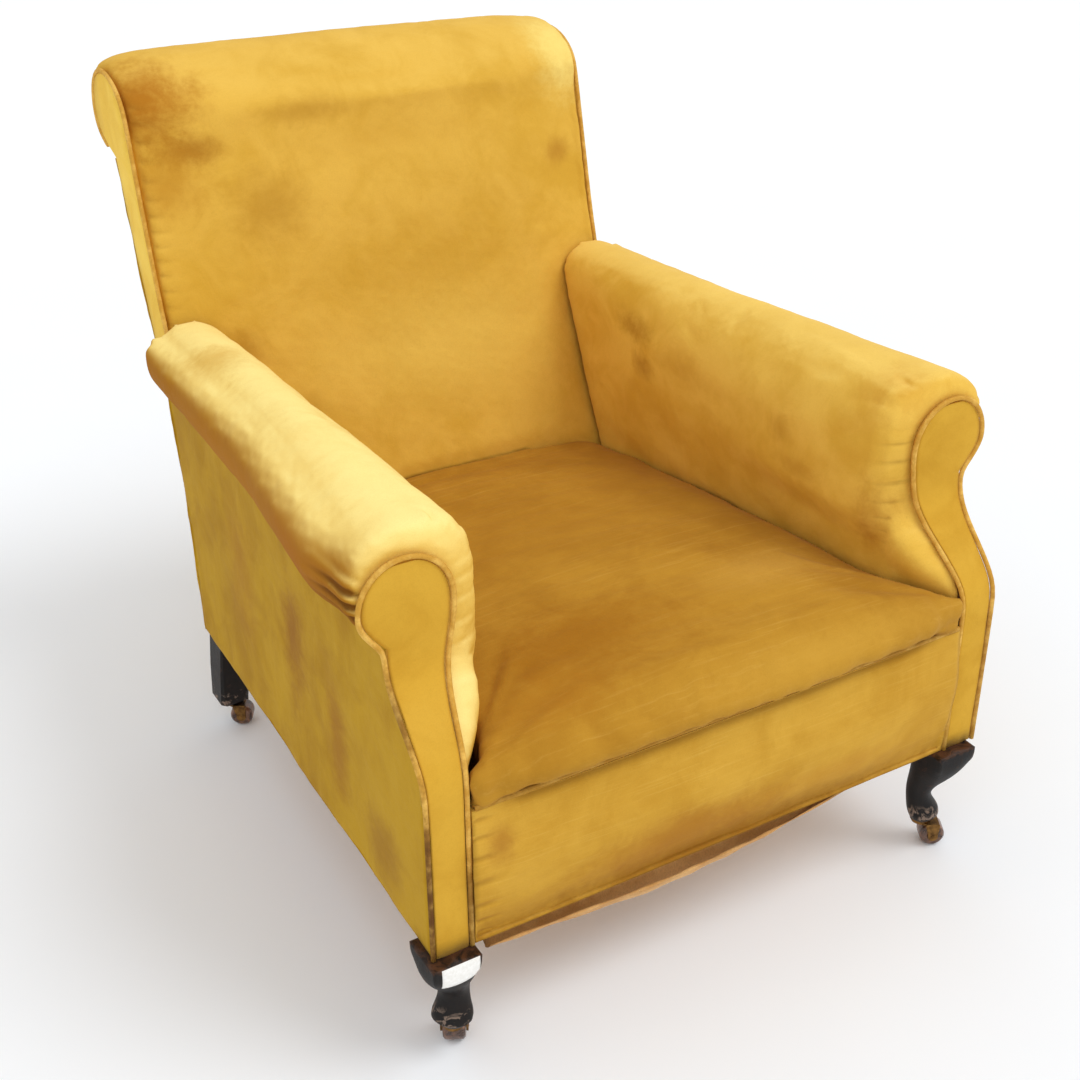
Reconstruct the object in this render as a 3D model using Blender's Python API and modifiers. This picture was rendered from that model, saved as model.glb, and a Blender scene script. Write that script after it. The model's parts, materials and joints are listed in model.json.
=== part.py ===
"""Old upholstered armchair with scrolled arms and back, cabriole front legs and bowl castors.

Units are metres, +Z is up, the sitter faces -Y and the floor is z = 0.
Y is measured from the middle between the feet while the pieces are made; at the end
everything hangs from one empty that puts the middle of the chair's box over the origin.
"""
import math

import bmesh
import bpy
from mathutils import Vector

# Clearances
GAP = 0.0003
SLIDE = 0.0015

# Seat frame
RAIL_BOTTOM = 0.144
SEAT_RAIL_HEIGHT = 0.072
SEAT_RAIL_THICK = 0.028
FRONT_FACE_Y = -0.350
FRAME_THICK = 0.034
COVER = 0.003

# Plan of the sides: they close in towards the rear, and more so at the arm than at the rail
SIDE_FRONT_X = 0.343
SIDE_TAPER_LOW = 0.022
SIDE_TAPER_HIGH = 0.040
SIDE_LENGTH = 0.77

# Arm
ARM_NECK_Z = 0.455
FACING_SHELF_Z = 0.335
FACING_SETBACK = 0.070
FACING_THICK = 0.005
FACING_INNER_X = 0.301
FACING_HEAD_X = 0.3185
FACING_HEAD_HALF = 0.0475
FACING_HEAD_Z = 0.495
FACING_HEAD_RISE = 0.050
ARM_CORE_TOP = 0.484
ARM_RAIL_HEIGHT = 0.030
ARM_DROP = 0.020
ARM_INNER_FRONT_X = 0.259
ARM_INNER_REAR_X = 0.238
ARM_PAD_BOTTOM = 0.243
ROLL_X = ((0.0, 0.312), (0.5, 0.284), (1.0, 0.283))
ROLL_HALF = ((0.0, 0.066), (0.5, 0.056), (1.0, 0.046))
ROLL_TOP = ((0.0, 0.570), (0.5, 0.552), (1.0, 0.531))
STUMP_DEPTH = 0.042
ARM_SLIDE = 0.0008
STUFFING_RAIL_HEIGHT = 0.028
STUFFING_RAIL_THICK = 0.020
STUFFING_RAIL_Z = 0.247

# Back
POST_DEPTH = 0.032
POST_WIDTH = 0.038
POST_TOP = 0.700
LEG_SWELL = 0.010
TOP_RAIL_HEIGHT = 0.045
BACK_HALF = 0.3000
BACK_STEP_Z = 0.480
BACK_ARM_CLEAR = 0.001
BACK_PANEL_HALF = 0.3042
BACK_WEB_REACH = 0.2655
BACK_SKIN = 0.0034
BACK_ROLL_Y = 0.535
BACK_ROLL_Z = 0.745
BACK_ROLL_FRONT = 0.100
BACK_ROLL_REAR = 0.068
BACK_ROLL_UP = 0.062
BACK_ROLL_DOWN = 0.0445
BACK_EDGE_DROP = 0.012
ROLL_SKEW = 0.008
BACK_BOTTOM = 0.237
REAR_PROFILE = ((0.144, 0.321), (0.300, 0.366), (0.455, 0.434), (0.610, 0.488), (0.700, 0.510))
FACE_PROFILE = ((0.200, 0.2507), (0.300, 0.292), (0.370, 0.325), (0.455, 0.362), (0.520, 0.386),
                (0.580, 0.402), (0.640, 0.4155), (0.690, 0.427), (0.731, 0.440))

# Seat
SEAT_PROFILE = ((-0.345, 0.362), (-0.250, 0.3555), (-0.180, 0.350), (-0.070, 0.340),
                (0.050, 0.325), (0.180, 0.305), (0.300, 0.279))
SEAT_CROWN = 0.014
SEAT_LIP_Y = -0.370
SEAM_Z = 0.306
LIP_BOTTOM = 0.3125
LIP_HALF = 0.2955
SEAT_STUFFING = 0.058
HESSIAN = 0.002
HESSIAN_RISE_Y = ((-0.322, 0.0), (-0.250, 1.0), (0.205, 1.0), (0.262, 0.0))
HESSIAN_RISE_X = ((0.178, 1.0), (0.232, 0.0))
HESSIAN_XS = (0.0, 0.089, 0.178, 0.205, 0.232)
HESSIAN_EDGE_XS = (0.262, 0.286)
HESSIAN_YS = (-0.322, -0.286, -0.250, -0.180, -0.070, 0.050, 0.180, 0.205, 0.234, 0.262)
WEB_THICK = 0.002
WEB_WIDTH = 0.050
WEB_SAG = 0.010
SPRING_WIRE = 0.0036
SPRING_RADIUS = 0.033
SPRING_WAIST = 0.022
SPRING_TURNS = 4
SPRING_XS = (-0.141, 0.0, 0.141)
SPRING_YS = (-0.205, -0.035, 0.135)
BORDER_BULGE = 0.008
CORD = 0.0028
CLOTH = 0.0015
CLOTH_SAG = 0.013
CLOTH_HALF = 0.304
CLOTH_LEG_HALF = 0.279
CLOTH_LEG_FRONT = -0.300
CLOTH_LEG_REAR = 0.235
CLOTH_REAR = 0.315
DROOP = ((-0.290, 0.022), (-0.217, 0.028), (-0.155, 0.033), (-0.091, 0.040), (-0.025, 0.038),
         (0.044, 0.032), (0.114, 0.020), (0.170, 0.0))

# Front legs, measured from the ankle along the outward diagonal
ANKLES = {-1: (-0.3120, -0.3275), 1: (0.2965, -0.3255)}
FOOT_OFFSET = 0.006
FOOT_BOTTOM = 0.0356

# Rear legs
REAR_FOOT_X = 0.306
REAR_FOOT_Y = 0.311

# Castors
BOWL_RADIUS = 0.0145
BOWL_EDGE_RADIUS = 0.0118
BOWL_WIDTH = 0.023
BOWL_FLAT = 0.014
BOWL_SIDES = 24
TRAIL = 0.014
AXLE_RADIUS = 0.0020
AXLE_BORE = 0.0024
CHEEK_GAP = 0.0006
CHEEK_THICK = 0.0022
CHEEK_RADIUS = 0.0060
CROWN_THICK = 0.0026
CROWN_RADIUS = 0.0105
CROWN_CLEAR = 0.0012
PLATE_RADIUS = 0.0120
PINTLE_RADIUS = 0.0025
PINTLE_BORE = 0.0028
RIVET_RADIUS = 0.0040
RIVET_THICK = 0.0012
# Each castor trails where the photograph shows its bowl; the fourth is out of sight
CASTORS = (("front_left", -1, "front", (0.5, 0.86)), ("front_right", 1, "front", (0.86, -0.5)),
           ("rear_left", -1, "rear", (0.87, -0.5)), ("rear_right", 1, "rear", (0.6, 0.8)))

SIDES = (("left", -1), ("right", 1))
COLOURS = {
    "velvet": ((0.60, 0.37, 0.07), 0.85, 0.0),
    "velvet_seat": ((0.45, 0.25, 0.05), 0.85, 0.0),
    "velvet_cord": ((0.68, 0.33, 0.09), 0.85, 0.0),
    "lining": ((0.50, 0.21, 0.06), 0.9, 0.0),
    "hessian": ((0.42, 0.29, 0.15), 0.95, 0.0),
    "webbing": ((0.36, 0.25, 0.14), 0.95, 0.0),
    "beech": ((0.52, 0.34, 0.18), 0.6, 0.0),
    "black_wood": ((0.010, 0.008, 0.007), 0.35, 0.0),
    "steel": ((0.22, 0.20, 0.18), 0.45, 1.0),
    "brass": ((0.42, 0.27, 0.10), 0.4, 1.0),
    "glazed_bowl": ((0.11, 0.05, 0.03), 0.2, 0.0),
}


# Helpers: curves of the design
def ease(value):
    """Smooth step from 0 to 1 for a value that runs from 0 to 1."""
    value = min(max(value, 0.0), 1.0)
    return value * value * (3.0 - 2.0 * value)


def along(table, key):
    """Straight-line reading of a short table of (key, value) pairs."""
    if key <= table[0][0]:
        return table[0][1]
    for (k0, v0), (k1, v1) in zip(table, table[1:]):
        if key <= k1:
            return v0 + (v1 - v0) * (key - k0) / (k1 - k0)
    return table[-1][1]


def side_x(y, z):
    """Outer face of the side cover: the side leans in towards the rear and the top."""
    rise = min(max((z - RAIL_BOTTOM) / (ARM_NECK_Z - RAIL_BOTTOM), 0.0), 1.1)
    taper = SIDE_TAPER_LOW + (SIDE_TAPER_HIGH - SIDE_TAPER_LOW) * rise
    return SIDE_FRONT_X - taper * (y - FRONT_FACE_Y) / SIDE_LENGTH


def core_out(y, z):
    """Outer face of the side frame, just inside its cover."""
    return side_x(y, z) - COVER - GAP


def core_in(y, z):
    """Inner face of the side frame."""
    return core_out(y, z) - FRAME_THICK


def facing_y(z):
    """Front face of the arm: upright beside the seat, swept back under the scroll."""
    return FRONT_FACE_Y + FACING_SETBACK * ease((z - FACING_SHELF_Z) / (0.438 - FACING_SHELF_Z))


def facing_back_y(z):
    """Back of the facing panel, where stump, pad and side cover start."""
    return facing_y(z) + FACING_THICK + GAP


def rear_y(z):
    """Outer face of the back cover."""
    return along(REAR_PROFILE, z)


def frame_rear_y(z):
    """Rear face of the back frame."""
    return rear_y(z) - COVER - GAP


def frame_front_y(z):
    """Front face of the back frame, which the back webbing lies on."""
    return frame_rear_y(z) - POST_DEPTH


def face_y(z):
    """Front face of the stuffed back at its sides."""
    return along(FACE_PROFILE, z)


def core_top(y):
    """Top of the arm rail, lower towards the rear."""
    return ARM_CORE_TOP - ARM_DROP * (y - FRONT_FACE_Y) / SIDE_LENGTH


def arm_inner_x(y):
    """Inner face of the stuffed arm at seat height; it starts flush with the facing."""
    run = (y + 0.28) / (0.30 + 0.28)
    plain = ARM_INNER_FRONT_X + (ARM_INNER_REAR_X - ARM_INNER_FRONT_X) * run
    swell = ease((y - FRONT_FACE_Y - 0.004) / 0.070)
    return FACING_INNER_X + (plain - FACING_INNER_X) * swell


def seat_z(x, y):
    """Top of the worn seat: high at the front, sunk towards the back, slightly crowned."""
    crown = SEAT_CROWN * (1.0 - (x / 0.26) ** 2)
    return along(SEAT_PROFILE, y) + max(crown, 0.0)


def hessian_z(x, y):
    """Underside of the hessian that lies over the springs and comes down to the rails."""
    base = RAIL_BOTTOM + SEAT_RAIL_HEIGHT + GAP
    high = along(SEAT_PROFILE, y) - SEAT_STUFFING
    return base + (high - base) * along(HESSIAN_RISE_Y, y) * along(HESSIAN_RISE_X, abs(x))


def web_z(x, y):
    """Top of the sagging seat webbing."""
    across = math.cos(min(abs(x) / 0.30, 1.0) * math.pi / 2.0)
    along_y = math.cos(min(abs(y + 0.015) / 0.31, 1.0) * math.pi / 2.0)
    return RAIL_BOTTOM - GAP - WEB_SAG * across * along_y


# Helpers: Blender objects
def clear_scene():
    for obj in list(bpy.data.objects):
        bpy.data.objects.remove(obj, do_unlink=True)


def new_collection(name):
    collection = bpy.data.collections.new(name)
    bpy.context.scene.collection.children.link(collection)
    return collection


def material(name):
    """Principled material from the palette at the top."""
    colour, roughness, metallic = COLOURS[name]
    mat = bpy.data.materials.get(name)
    if mat is None:
        mat = bpy.data.materials.new(name)
        mat.use_nodes = True
        shader = mat.node_tree.nodes["Principled BSDF"]
        shader.inputs["Base Color"].default_value = (*colour, 1.0)
        shader.inputs["Roughness"].default_value = roughness
        shader.inputs["Metallic"].default_value = metallic
        mat.diffuse_color = (*colour, 1.0)
    return mat


def add_object(name, data, finish, collection=None):
    obj = bpy.data.objects.new(name, data)
    (collection or CHAIR).objects.link(obj)
    obj.parent = ROOT
    data.materials.append(material(finish))
    return obj


def mesh_object(name, bm, finish, smooth_angle=40.0, collection=None):
    """Turn a bmesh into an object, smooth except over its sharp edges."""
    bmesh.ops.recalc_face_normals(bm, faces=bm.faces)
    mesh = bpy.data.meshes.new(name)
    bm.to_mesh(mesh)
    bm.free()
    mesh.shade_smooth()
    mesh.set_sharp_from_angle(angle=math.radians(smooth_angle))
    return add_object(name, mesh, finish, collection)


def loft(name, rings, finish, smooth_angle=40.0, paired=False):
    """Closed skin through rings of equally many points.

    Ends are flat-filled, or, for a section whose second half runs back along its first,
    closed by a strip between the two halves.
    """
    bm = bmesh.new()
    rows = [[bm.verts.new(point) for point in ring] for ring in rings]
    count = len(rows[0])
    for row, following in zip(rows, rows[1:]):
        for i in range(count):
            j = (i + 1) % count
            bm.faces.new((row[i], row[j], following[j], following[i]))
    for row in (rows[0], rows[-1]):
        if paired:
            for i in range(count // 2 - 1):
                bm.faces.new((row[i], row[i + 1], row[count - 2 - i], row[count - 1 - i]))
        else:
            bmesh.ops.triangulate(bm, faces=[bm.faces.new(row)])
    return mesh_object(name, bm, finish, smooth_angle)


def sheet(name, place, us, vs, thick, finish, offset=-1.0):
    """Thin cover: a grid whose lines are at us and vs, laid out by place, then thickened."""
    bm = bmesh.new()
    bmesh.ops.create_grid(bm, x_segments=len(us) - 1, y_segments=len(vs) - 1, size=0.5)
    for vert in bm.verts:
        column = round((vert.co.x + 0.5) * (len(us) - 1))
        row = round((vert.co.y + 0.5) * (len(vs) - 1))
        vert.co = Vector(place(us[column], vs[row]))
    mesh = bpy.data.meshes.new(name)
    bm.to_mesh(mesh)
    bm.free()
    mesh.shade_smooth()
    obj = add_object(name, mesh, finish)
    solidify = obj.modifiers.new("thickness", "SOLIDIFY")
    solidify.thickness = thick
    solidify.offset = offset
    return obj


def shares(count):
    """Evenly spaced values from 0 to 1."""
    return [i / count for i in range(count + 1)]


def board(name, outline, thick, finish):
    """Flat outline in its own XY plane, as thick as given, centred on that plane."""
    curve = bpy.data.curves.new(name, "CURVE")
    curve.dimensions = "2D"
    curve.fill_mode = "BOTH"
    curve.extrude = thick / 2.0
    spline = curve.splines.new("POLY")
    spline.points.add(len(outline) - 1)
    for point, (x, y) in zip(spline.points, outline):
        point.co = (x, y, 0.0, 1.0)
    spline.use_cyclic_u = True
    return add_object(name, curve, finish)


def tube(name, points, radius, finish, resolution=2):
    """Round cord or wire along a line of points, with filled ends."""
    curve = bpy.data.curves.new(name, "CURVE")
    curve.dimensions = "3D"
    curve.bevel_depth = radius
    curve.bevel_resolution = resolution
    curve.use_fill_caps = True
    spline = curve.splines.new("POLY")
    spline.points.add(len(points) - 1)
    for target, point in zip(spline.points, points):
        target.co = (*point, 1.0)
    return add_object(name, curve, finish)


def turned(name, profile, steps, finish, axis_tilt=None):
    """Profile of (radius, height) pairs, top first down its outer side, spun about Z."""
    bm = bmesh.new()
    verts = [bm.verts.new((radius, 0.0, height)) for radius, height in profile]
    for first, second in zip(verts, verts[1:] + verts[:1]):
        bm.edges.new((first, second))
    mesh = bpy.data.meshes.new(name)
    bm.to_mesh(mesh)
    bm.free()
    mesh.shade_smooth()
    obj = add_object(name, mesh, finish)
    screw = obj.modifiers.new("turn", "SCREW")
    screw.axis = "Z"
    screw.steps = steps
    screw.render_steps = steps
    screw.use_merge_vertices = True
    screw.merge_threshold = 0.00001
    screw.use_smooth_shade = True
    if axis_tilt is not None:
        obj.rotation_euler = axis_tilt
    return obj


# Frame of beech
def plan_board(name, corners, bottom, height, finish="beech"):
    """Level rail from its outline in plan."""
    rail = board(name, corners, height, finish)
    rail.location.z = bottom + height / 2.0
    return rail


def build_seat_rails():
    """Four rails: front between the stumps, sides from stump to post, rear between posts."""
    level = RAIL_BOTTOM + SEAT_RAIL_HEIGHT / 2.0
    front = facing_back_y(RAIL_BOTTOM)
    back_of_front = front + SEAT_RAIL_THICK
    reach_0 = core_in(front, RAIL_BOTTOM) - GAP
    reach_1 = core_in(back_of_front, level) - GAP - SLIDE
    plan_board("front_seat_rail",
               ((-reach_0, front), (reach_0, front), (reach_1, back_of_front),
                (-reach_1, back_of_front)), RAIL_BOTTOM, SEAT_RAIL_HEIGHT)
    rail_top = RAIL_BOTTOM + SEAT_RAIL_HEIGHT
    stump_rear = front + STUMP_DEPTH + GAP
    post_front = post_front_y(RAIL_BOTTOM) - GAP
    for side, sign in SIDES:
        outer = [(sign * (core_out(y, rail_top) - GAP), y) for y in (stump_rear, post_front)]
        inner = [(sign * (core_out(y, rail_top) - SEAT_RAIL_THICK), y)
                 for y in (post_front, stump_rear)]
        plan_board("side_seat_rail_" + side, outer + inner, RAIL_BOTTOM, SEAT_RAIL_HEIGHT)
    rear = frame_rear_y(RAIL_BOTTOM)
    inner_post = post_outer_x(rail_top) - POST_WIDTH - SLIDE
    plan_board("rear_seat_rail",
               ((-inner_post, rear - SEAT_RAIL_THICK), (inner_post, rear - SEAT_RAIL_THICK),
                (inner_post, rear), (-inner_post, rear)), RAIL_BOTTOM, SEAT_RAIL_HEIGHT)


def post_outer_x(z):
    """Outer face of a back post: against the side cover below, inside the back above."""
    beside_arm = core_out(frame_rear_y(z), z)
    return beside_arm if z < ARM_NECK_Z else min(beside_arm, BACK_HALF - GAP)


def post_front_y(z):
    """Front face of a back post; at the seat it thickens into the rear leg."""
    above = (z - RAIL_BOTTOM - SEAT_RAIL_HEIGHT) / 0.024
    return frame_front_y(max(z, RAIL_BOTTOM)) - LEG_SWELL * (1.0 - min(max(above, 0.0), 1.0))


def square_ring(x0, x1, y0, y1, z, chamfer):
    """Eight points of a chamfered rectangle."""
    return [(x0 + chamfer, y0, z), (x1 - chamfer, y0, z), (x1, y0 + chamfer, z),
            (x1, y1 - chamfer, z), (x1 - chamfer, y1, z), (x0 + chamfer, y1, z),
            (x0, y1 - chamfer, z), (x0, y0 + chamfer, z)]


def post_levels():
    """Heights at which the post changes section or direction."""
    swell_end = RAIL_BOTTOM + SEAT_RAIL_HEIGHT
    return (RAIL_BOTTOM, swell_end, swell_end + 0.024, 0.300, 0.380, ARM_NECK_Z, 0.520, 0.610,
            POST_TOP)


def build_back_posts():
    """Rear leg and back upright are one timber, splayed at the foot and raked at the top."""
    for side, sign in SIDES:
        rings = []
        for z, half, soft in ((FOOT_BOTTOM, 0.0165, 0.005), (0.0410, 0.0200, 0.004),
                              (0.0900, 0.0210, 0.003)):
            run = (z - FOOT_BOTTOM) / (RAIL_BOTTOM - FOOT_BOTTOM)
            top_x = post_outer_x(RAIL_BOTTOM) - POST_WIDTH / 2.0
            top_y = (post_front_y(RAIL_BOTTOM) + frame_rear_y(RAIL_BOTTOM)) / 2.0
            x = REAR_FOOT_X + (top_x - REAR_FOOT_X) * run
            y = REAR_FOOT_Y + (top_y - REAR_FOOT_Y) * run
            x0, x1 = sorted((sign * (x - half * 0.93), sign * (x + half * 0.93)))
            rings.append(square_ring(x0, x1, y - half, y + half, z, soft))
        for z in post_levels():
            outer = post_outer_x(z)
            x0, x1 = sorted((sign * outer, sign * (outer - POST_WIDTH)))
            rings.append(square_ring(x0, x1, post_front_y(z), frame_rear_y(z), z, 0.002))
        loft("back_post_" + side, rings, "black_wood", 30.0)


def build_arm_frames():
    """Shaped stump, arm rail and stuffing rail on each side."""
    levels = low_levels() + [ARM_NECK_Z, ARM_CORE_TOP]
    for side, sign in SIDES:
        rings = []
        for z in levels:
            y0 = facing_back_y(z)
            y1 = y0 + STUMP_DEPTH
            z0, z1 = (core_top(y0), core_top(y1)) if z > ARM_NECK_Z else (z, z)
            ring = [(sign * core_out(y0, z0), y0, z0), (sign * core_out(y1, z1), y1, z1),
                    (sign * core_in(y1, z1), y1, z1), (sign * core_in(y0, z0), y0, z0)]
            rings.append(ring)
        loft("arm_stump_" + side, rings, "beech", 25.0)
        build_arm_rail(side, sign)
        build_stuffing_rail(side, sign)


def build_arm_rail(side, sign):
    """Arm rail from the head of the stump down to the post."""
    rings = []
    start = facing_back_y(ARM_CORE_TOP) + STUMP_DEPTH + GAP
    end_low = post_front_y(core_top(0.38) - ARM_RAIL_HEIGHT) - GAP - 0.0006
    end_high = post_front_y(core_top(0.38)) - GAP - 0.0006
    for low, high in ((start, start), (end_low, end_high)):
        top_low = core_top(low)
        bottom = top_low - ARM_RAIL_HEIGHT
        inset = GAP
        rings.append([(sign * (core_out(low, bottom) - inset), low, bottom),
                      (sign * (core_out(high, top_low) - inset), high, top_low),
                      (sign * (core_in(high, top_low) + inset), high, top_low),
                      (sign * (core_in(low, bottom) + inset), low, bottom)])
    loft("arm_rail_" + side, rings, "beech", 25.0)


def build_stuffing_rail(side, sign):
    """Low rail that the inside arm is pulled down to."""
    bottom = STUFFING_RAIL_Z
    top = bottom + STUFFING_RAIL_HEIGHT
    start = facing_back_y(bottom) + STUMP_DEPTH + GAP
    rings = []
    for y_low, y_high in ((start, start), (post_front_y(bottom) - GAP, post_front_y(top) - GAP)):
        ring = []
        for y, z, inset in ((y_low, bottom, STUFFING_RAIL_THICK), (y_high, top, STUFFING_RAIL_THICK),
                            (y_high, top, GAP), (y_low, bottom, GAP)):
            ring.append((sign * (core_in(y, z) + inset), y, z))
        rings.append(ring)
    loft("arm_stuffing_rail_" + side, rings, "beech", 25.0)


def build_back_rails():
    """Top rail and stuffing rail between the posts, raked with them."""
    for name, bottom, height in (("back_top_rail", POST_TOP - TOP_RAIL_HEIGHT, TOP_RAIL_HEIGHT),
                                 ("back_stuffing_rail", STUFFING_RAIL_Z, STUFFING_RAIL_HEIGHT)):
        top = bottom + height
        rings = []
        for sign in (-1, 1):
            ring = []
            for y_at, z in ((frame_front_y, bottom), (frame_front_y, top),
                            (frame_rear_y, top), (frame_rear_y, bottom)):
                reach = post_outer_x(z) - POST_WIDTH - GAP
                ring.append((sign * reach, y_at(z), z))
            rings.append(ring)
        loft(name, rings, "beech", 25.0)


# Legs
LEG_PROFILE = (
    # height, outer reach, inner reach, half width, squareness
    (0.1437, 0.0550, -0.0185, 0.0367, 1.0),
    (0.1320, 0.0555, -0.0170, 0.0362, 1.1),
    (0.1190, 0.0510, -0.0140, 0.0325, 1.4),
    (0.1040, 0.0370, -0.0130, 0.0250, 1.9),
    (0.0910, 0.0235, -0.0140, 0.0195, 2.0),
    (0.0790, 0.0155, -0.0150, 0.0165, 2.0),
    (0.0690, 0.0140, -0.0145, 0.0165, 2.0),
    (0.0600, 0.0185, -0.0135, 0.0180, 2.0),
    (0.0520, 0.0250, -0.0125, 0.0215, 2.0),
    (0.0455, 0.0260, -0.0110, 0.0222, 2.0),
    (0.0395, 0.0215, -0.0085, 0.0180, 2.0),
    (FOOT_BOTTOM, 0.0185, -0.0065, 0.0135, 2.0),
)
LEG_SIDES = 16


def leg_ring(height, outer, inner, half, power):
    """Ring about the ankle: a diamond, so a square block, at the knee and an oval below."""
    ring = []
    for i in range(LEG_SIDES):
        angle = 2.0 * math.pi * i / LEG_SIDES
        c = math.cos(angle)
        s = math.sin(angle)
        reach = 1.0 / (abs(c) ** power + abs(s) ** power) ** (1.0 / power)
        middle = (outer + inner) / 2.0
        ring.append((middle + reach * c * (outer - inner) / 2.0, reach * s * half, height))
    return ring


def build_front_legs():
    """Short cabriole legs, lofted along their curve and turned to face the corners."""
    for side, sign in SIDES:
        rings = [leg_ring(*row) for row in LEG_PROFILE]
        leg = loft("front_leg_" + side, rings, "black_wood", 50.0)
        leg.location = (*ANKLES[sign], 0.0)
        leg.rotation_euler.z = -math.pi / 2.0 + sign * math.pi / 4.0


# Castors
def castor_axis(sign, end):
    """Where the pintle stands under a foot."""
    if end == "rear":
        return sign * REAR_FOOT_X, REAR_FOOT_Y
    step = FOOT_OFFSET / math.sqrt(2.0)
    return ANKLES[sign][0] + sign * step, ANKLES[sign][1] - step


def axle_height():
    """The bowl stands on one of its flats."""
    return BOWL_RADIUS * math.cos(math.pi / BOWL_SIDES)


def build_plate(name, x, y, crown_bottom):
    """Plate under the foot with its pintle, riveted over below the crown of the horn."""
    crown_top = crown_bottom + CROWN_THICK
    plate_bottom = crown_top + GAP
    plate_top = FOOT_BOTTOM - GAP
    rivet_top = crown_bottom - GAP
    profile = ((0.0, plate_top), (PLATE_RADIUS, plate_top), (PLATE_RADIUS, plate_bottom),
               (PINTLE_RADIUS, plate_bottom), (PINTLE_RADIUS, rivet_top),
               (RIVET_RADIUS, rivet_top), (RIVET_RADIUS * 0.7, rivet_top - RIVET_THICK),
               (0.0, rivet_top - RIVET_THICK))
    bm = bmesh.new()
    verts = [bm.verts.new((radius, 0.0, height)) for radius, height in profile]
    for first, second in zip(verts, verts[1:]):
        bm.edges.new((first, second))
    mesh = bpy.data.meshes.new(name)
    bm.to_mesh(mesh)
    bm.free()
    plate = add_object(name, mesh, "brass")
    screw = plate.modifiers.new("turn", "SCREW")
    screw.steps = 16
    screw.render_steps = 16
    screw.use_merge_vertices = True
    screw.merge_threshold = 0.00001
    plate.location = (x, y, 0.0)
    return plate


def horn_outline(bottom_gap):
    """Side view of a cheek: wide under the crown, round about the axle."""
    axle = axle_height()
    top = axle + BOWL_RADIUS + CROWN_CLEAR + CROWN_THICK * 0.5
    points = [(-TRAIL + 0.004, top), (CHEEK_RADIUS + 0.001, top)]
    for i in range(7):
        angle = math.radians(20.0 - 220.0 * i / 6.0)
        points.append((CHEEK_RADIUS * math.cos(angle), axle + CHEEK_RADIUS * math.sin(angle)))
    return [(x, z + bottom_gap) for x, z in points]


def prism(name, outline, low, high, plane):
    """Straight-sided block: outline in XZ stretched along Y, or in XY stretched along Z."""
    bm = bmesh.new()
    rows = []
    for depth in (low, high):
        if plane == "xz":
            rows.append([bm.verts.new((a, depth, b)) for a, b in outline])
        else:
            rows.append([bm.verts.new((a, b, depth)) for a, b in outline])
    count = len(outline)
    for i in range(count):
        j = (i + 1) % count
        bm.faces.new((rows[0][i], rows[0][j], rows[1][j], rows[1][i]))
    bm.faces.new(rows[0])
    bm.faces.new(rows[1])
    return mesh_object(name, bm, "brass", 40.0, CUTTERS)


def add_boolean(obj, tool, operation):
    tool.hide_render = True
    tool.display_type = "WIRE"
    boolean = obj.modifiers.new(tool.name, "BOOLEAN")
    boolean.operation = operation
    boolean.solver = "EXACT"
    boolean.object = tool


def rod(name, radius, length, sides, collection):
    bm = bmesh.new()
    bmesh.ops.create_cone(bm, cap_ends=True, segments=sides, radius1=radius, radius2=radius,
                          depth=length)
    return mesh_object(name, bm, "brass", 40.0, collection)


def horn_mesh():
    """One horn about its pintle, trailing along +X: crown, two cheeks and the axle pin."""
    crown_bottom = axle_height() + BOWL_RADIUS + CROWN_CLEAR
    half = BOWL_WIDTH / 2.0 + CHEEK_GAP
    outline = []
    for i in range(9):
        angle = math.radians(90.0 + 180.0 * i / 8.0)
        outline.append((CROWN_RADIUS * math.cos(angle), CROWN_RADIUS * math.sin(angle)))
    outline += [(TRAIL * 0.45, -half - CHEEK_THICK), (TRAIL + CHEEK_RADIUS, -half - CHEEK_THICK),
                (TRAIL + CHEEK_RADIUS, half + CHEEK_THICK), (TRAIL * 0.45, half + CHEEK_THICK)]
    horn = prism("horn_pattern", outline, crown_bottom, crown_bottom + CROWN_THICK, "xy")
    for name, low in (("cheek_a", half), ("cheek_b", -half - CHEEK_THICK)):
        side = [(TRAIL + x, z) for x, z in horn_outline(0.0)]
        cheek = prism(name, side, low, low + CHEEK_THICK, "xz")
        add_boolean(horn, cheek, "UNION")
    pin = rod("axle_pin", AXLE_RADIUS, BOWL_WIDTH + 2.0 * (CHEEK_GAP + CHEEK_THICK) + 0.001, 10,
              CUTTERS)
    pin.rotation_euler.x = math.pi / 2.0
    pin.location = (TRAIL, 0.0, axle_height())
    add_boolean(horn, pin, "UNION")
    hole = rod("pintle_hole", PINTLE_BORE, CROWN_THICK * 4.0, 14, CUTTERS)
    hole.location.z = crown_bottom
    add_boolean(horn, hole, "DIFFERENCE")
    bpy.context.view_layer.update()
    shaped = bpy.data.meshes.new_from_object(
        horn.evaluated_get(bpy.context.evaluated_depsgraph_get()))
    horn.hide_render = True
    horn.display_type = "WIRE"
    shaped.name = "castor_horn"
    return shaped


def build_bowl(name, x, y, heading):
    """Barrel-shaped bowl, bored for the axle and turned so that a flat is lowest."""
    half = BOWL_WIDTH / 2.0
    flat = BOWL_FLAT / 2.0
    profile = ((BOWL_RADIUS, flat), (BOWL_RADIUS, -flat), (BOWL_RADIUS * 0.96, -flat * 1.35),
               (BOWL_EDGE_RADIUS, -half), (AXLE_BORE, -half), (AXLE_BORE, half),
               (BOWL_EDGE_RADIUS, half), (BOWL_RADIUS * 0.96, flat * 1.35))
    bowl = turned(name, profile, BOWL_SIDES, "glazed_bowl")
    turn = math.atan2(heading[1], heading[0])
    bowl.rotation_mode = "XYZ"
    bowl.rotation_euler = (math.pi / 2.0, -math.pi / BOWL_SIDES, turn)
    bowl.location = (x, y, axle_height())
    return bowl


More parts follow.
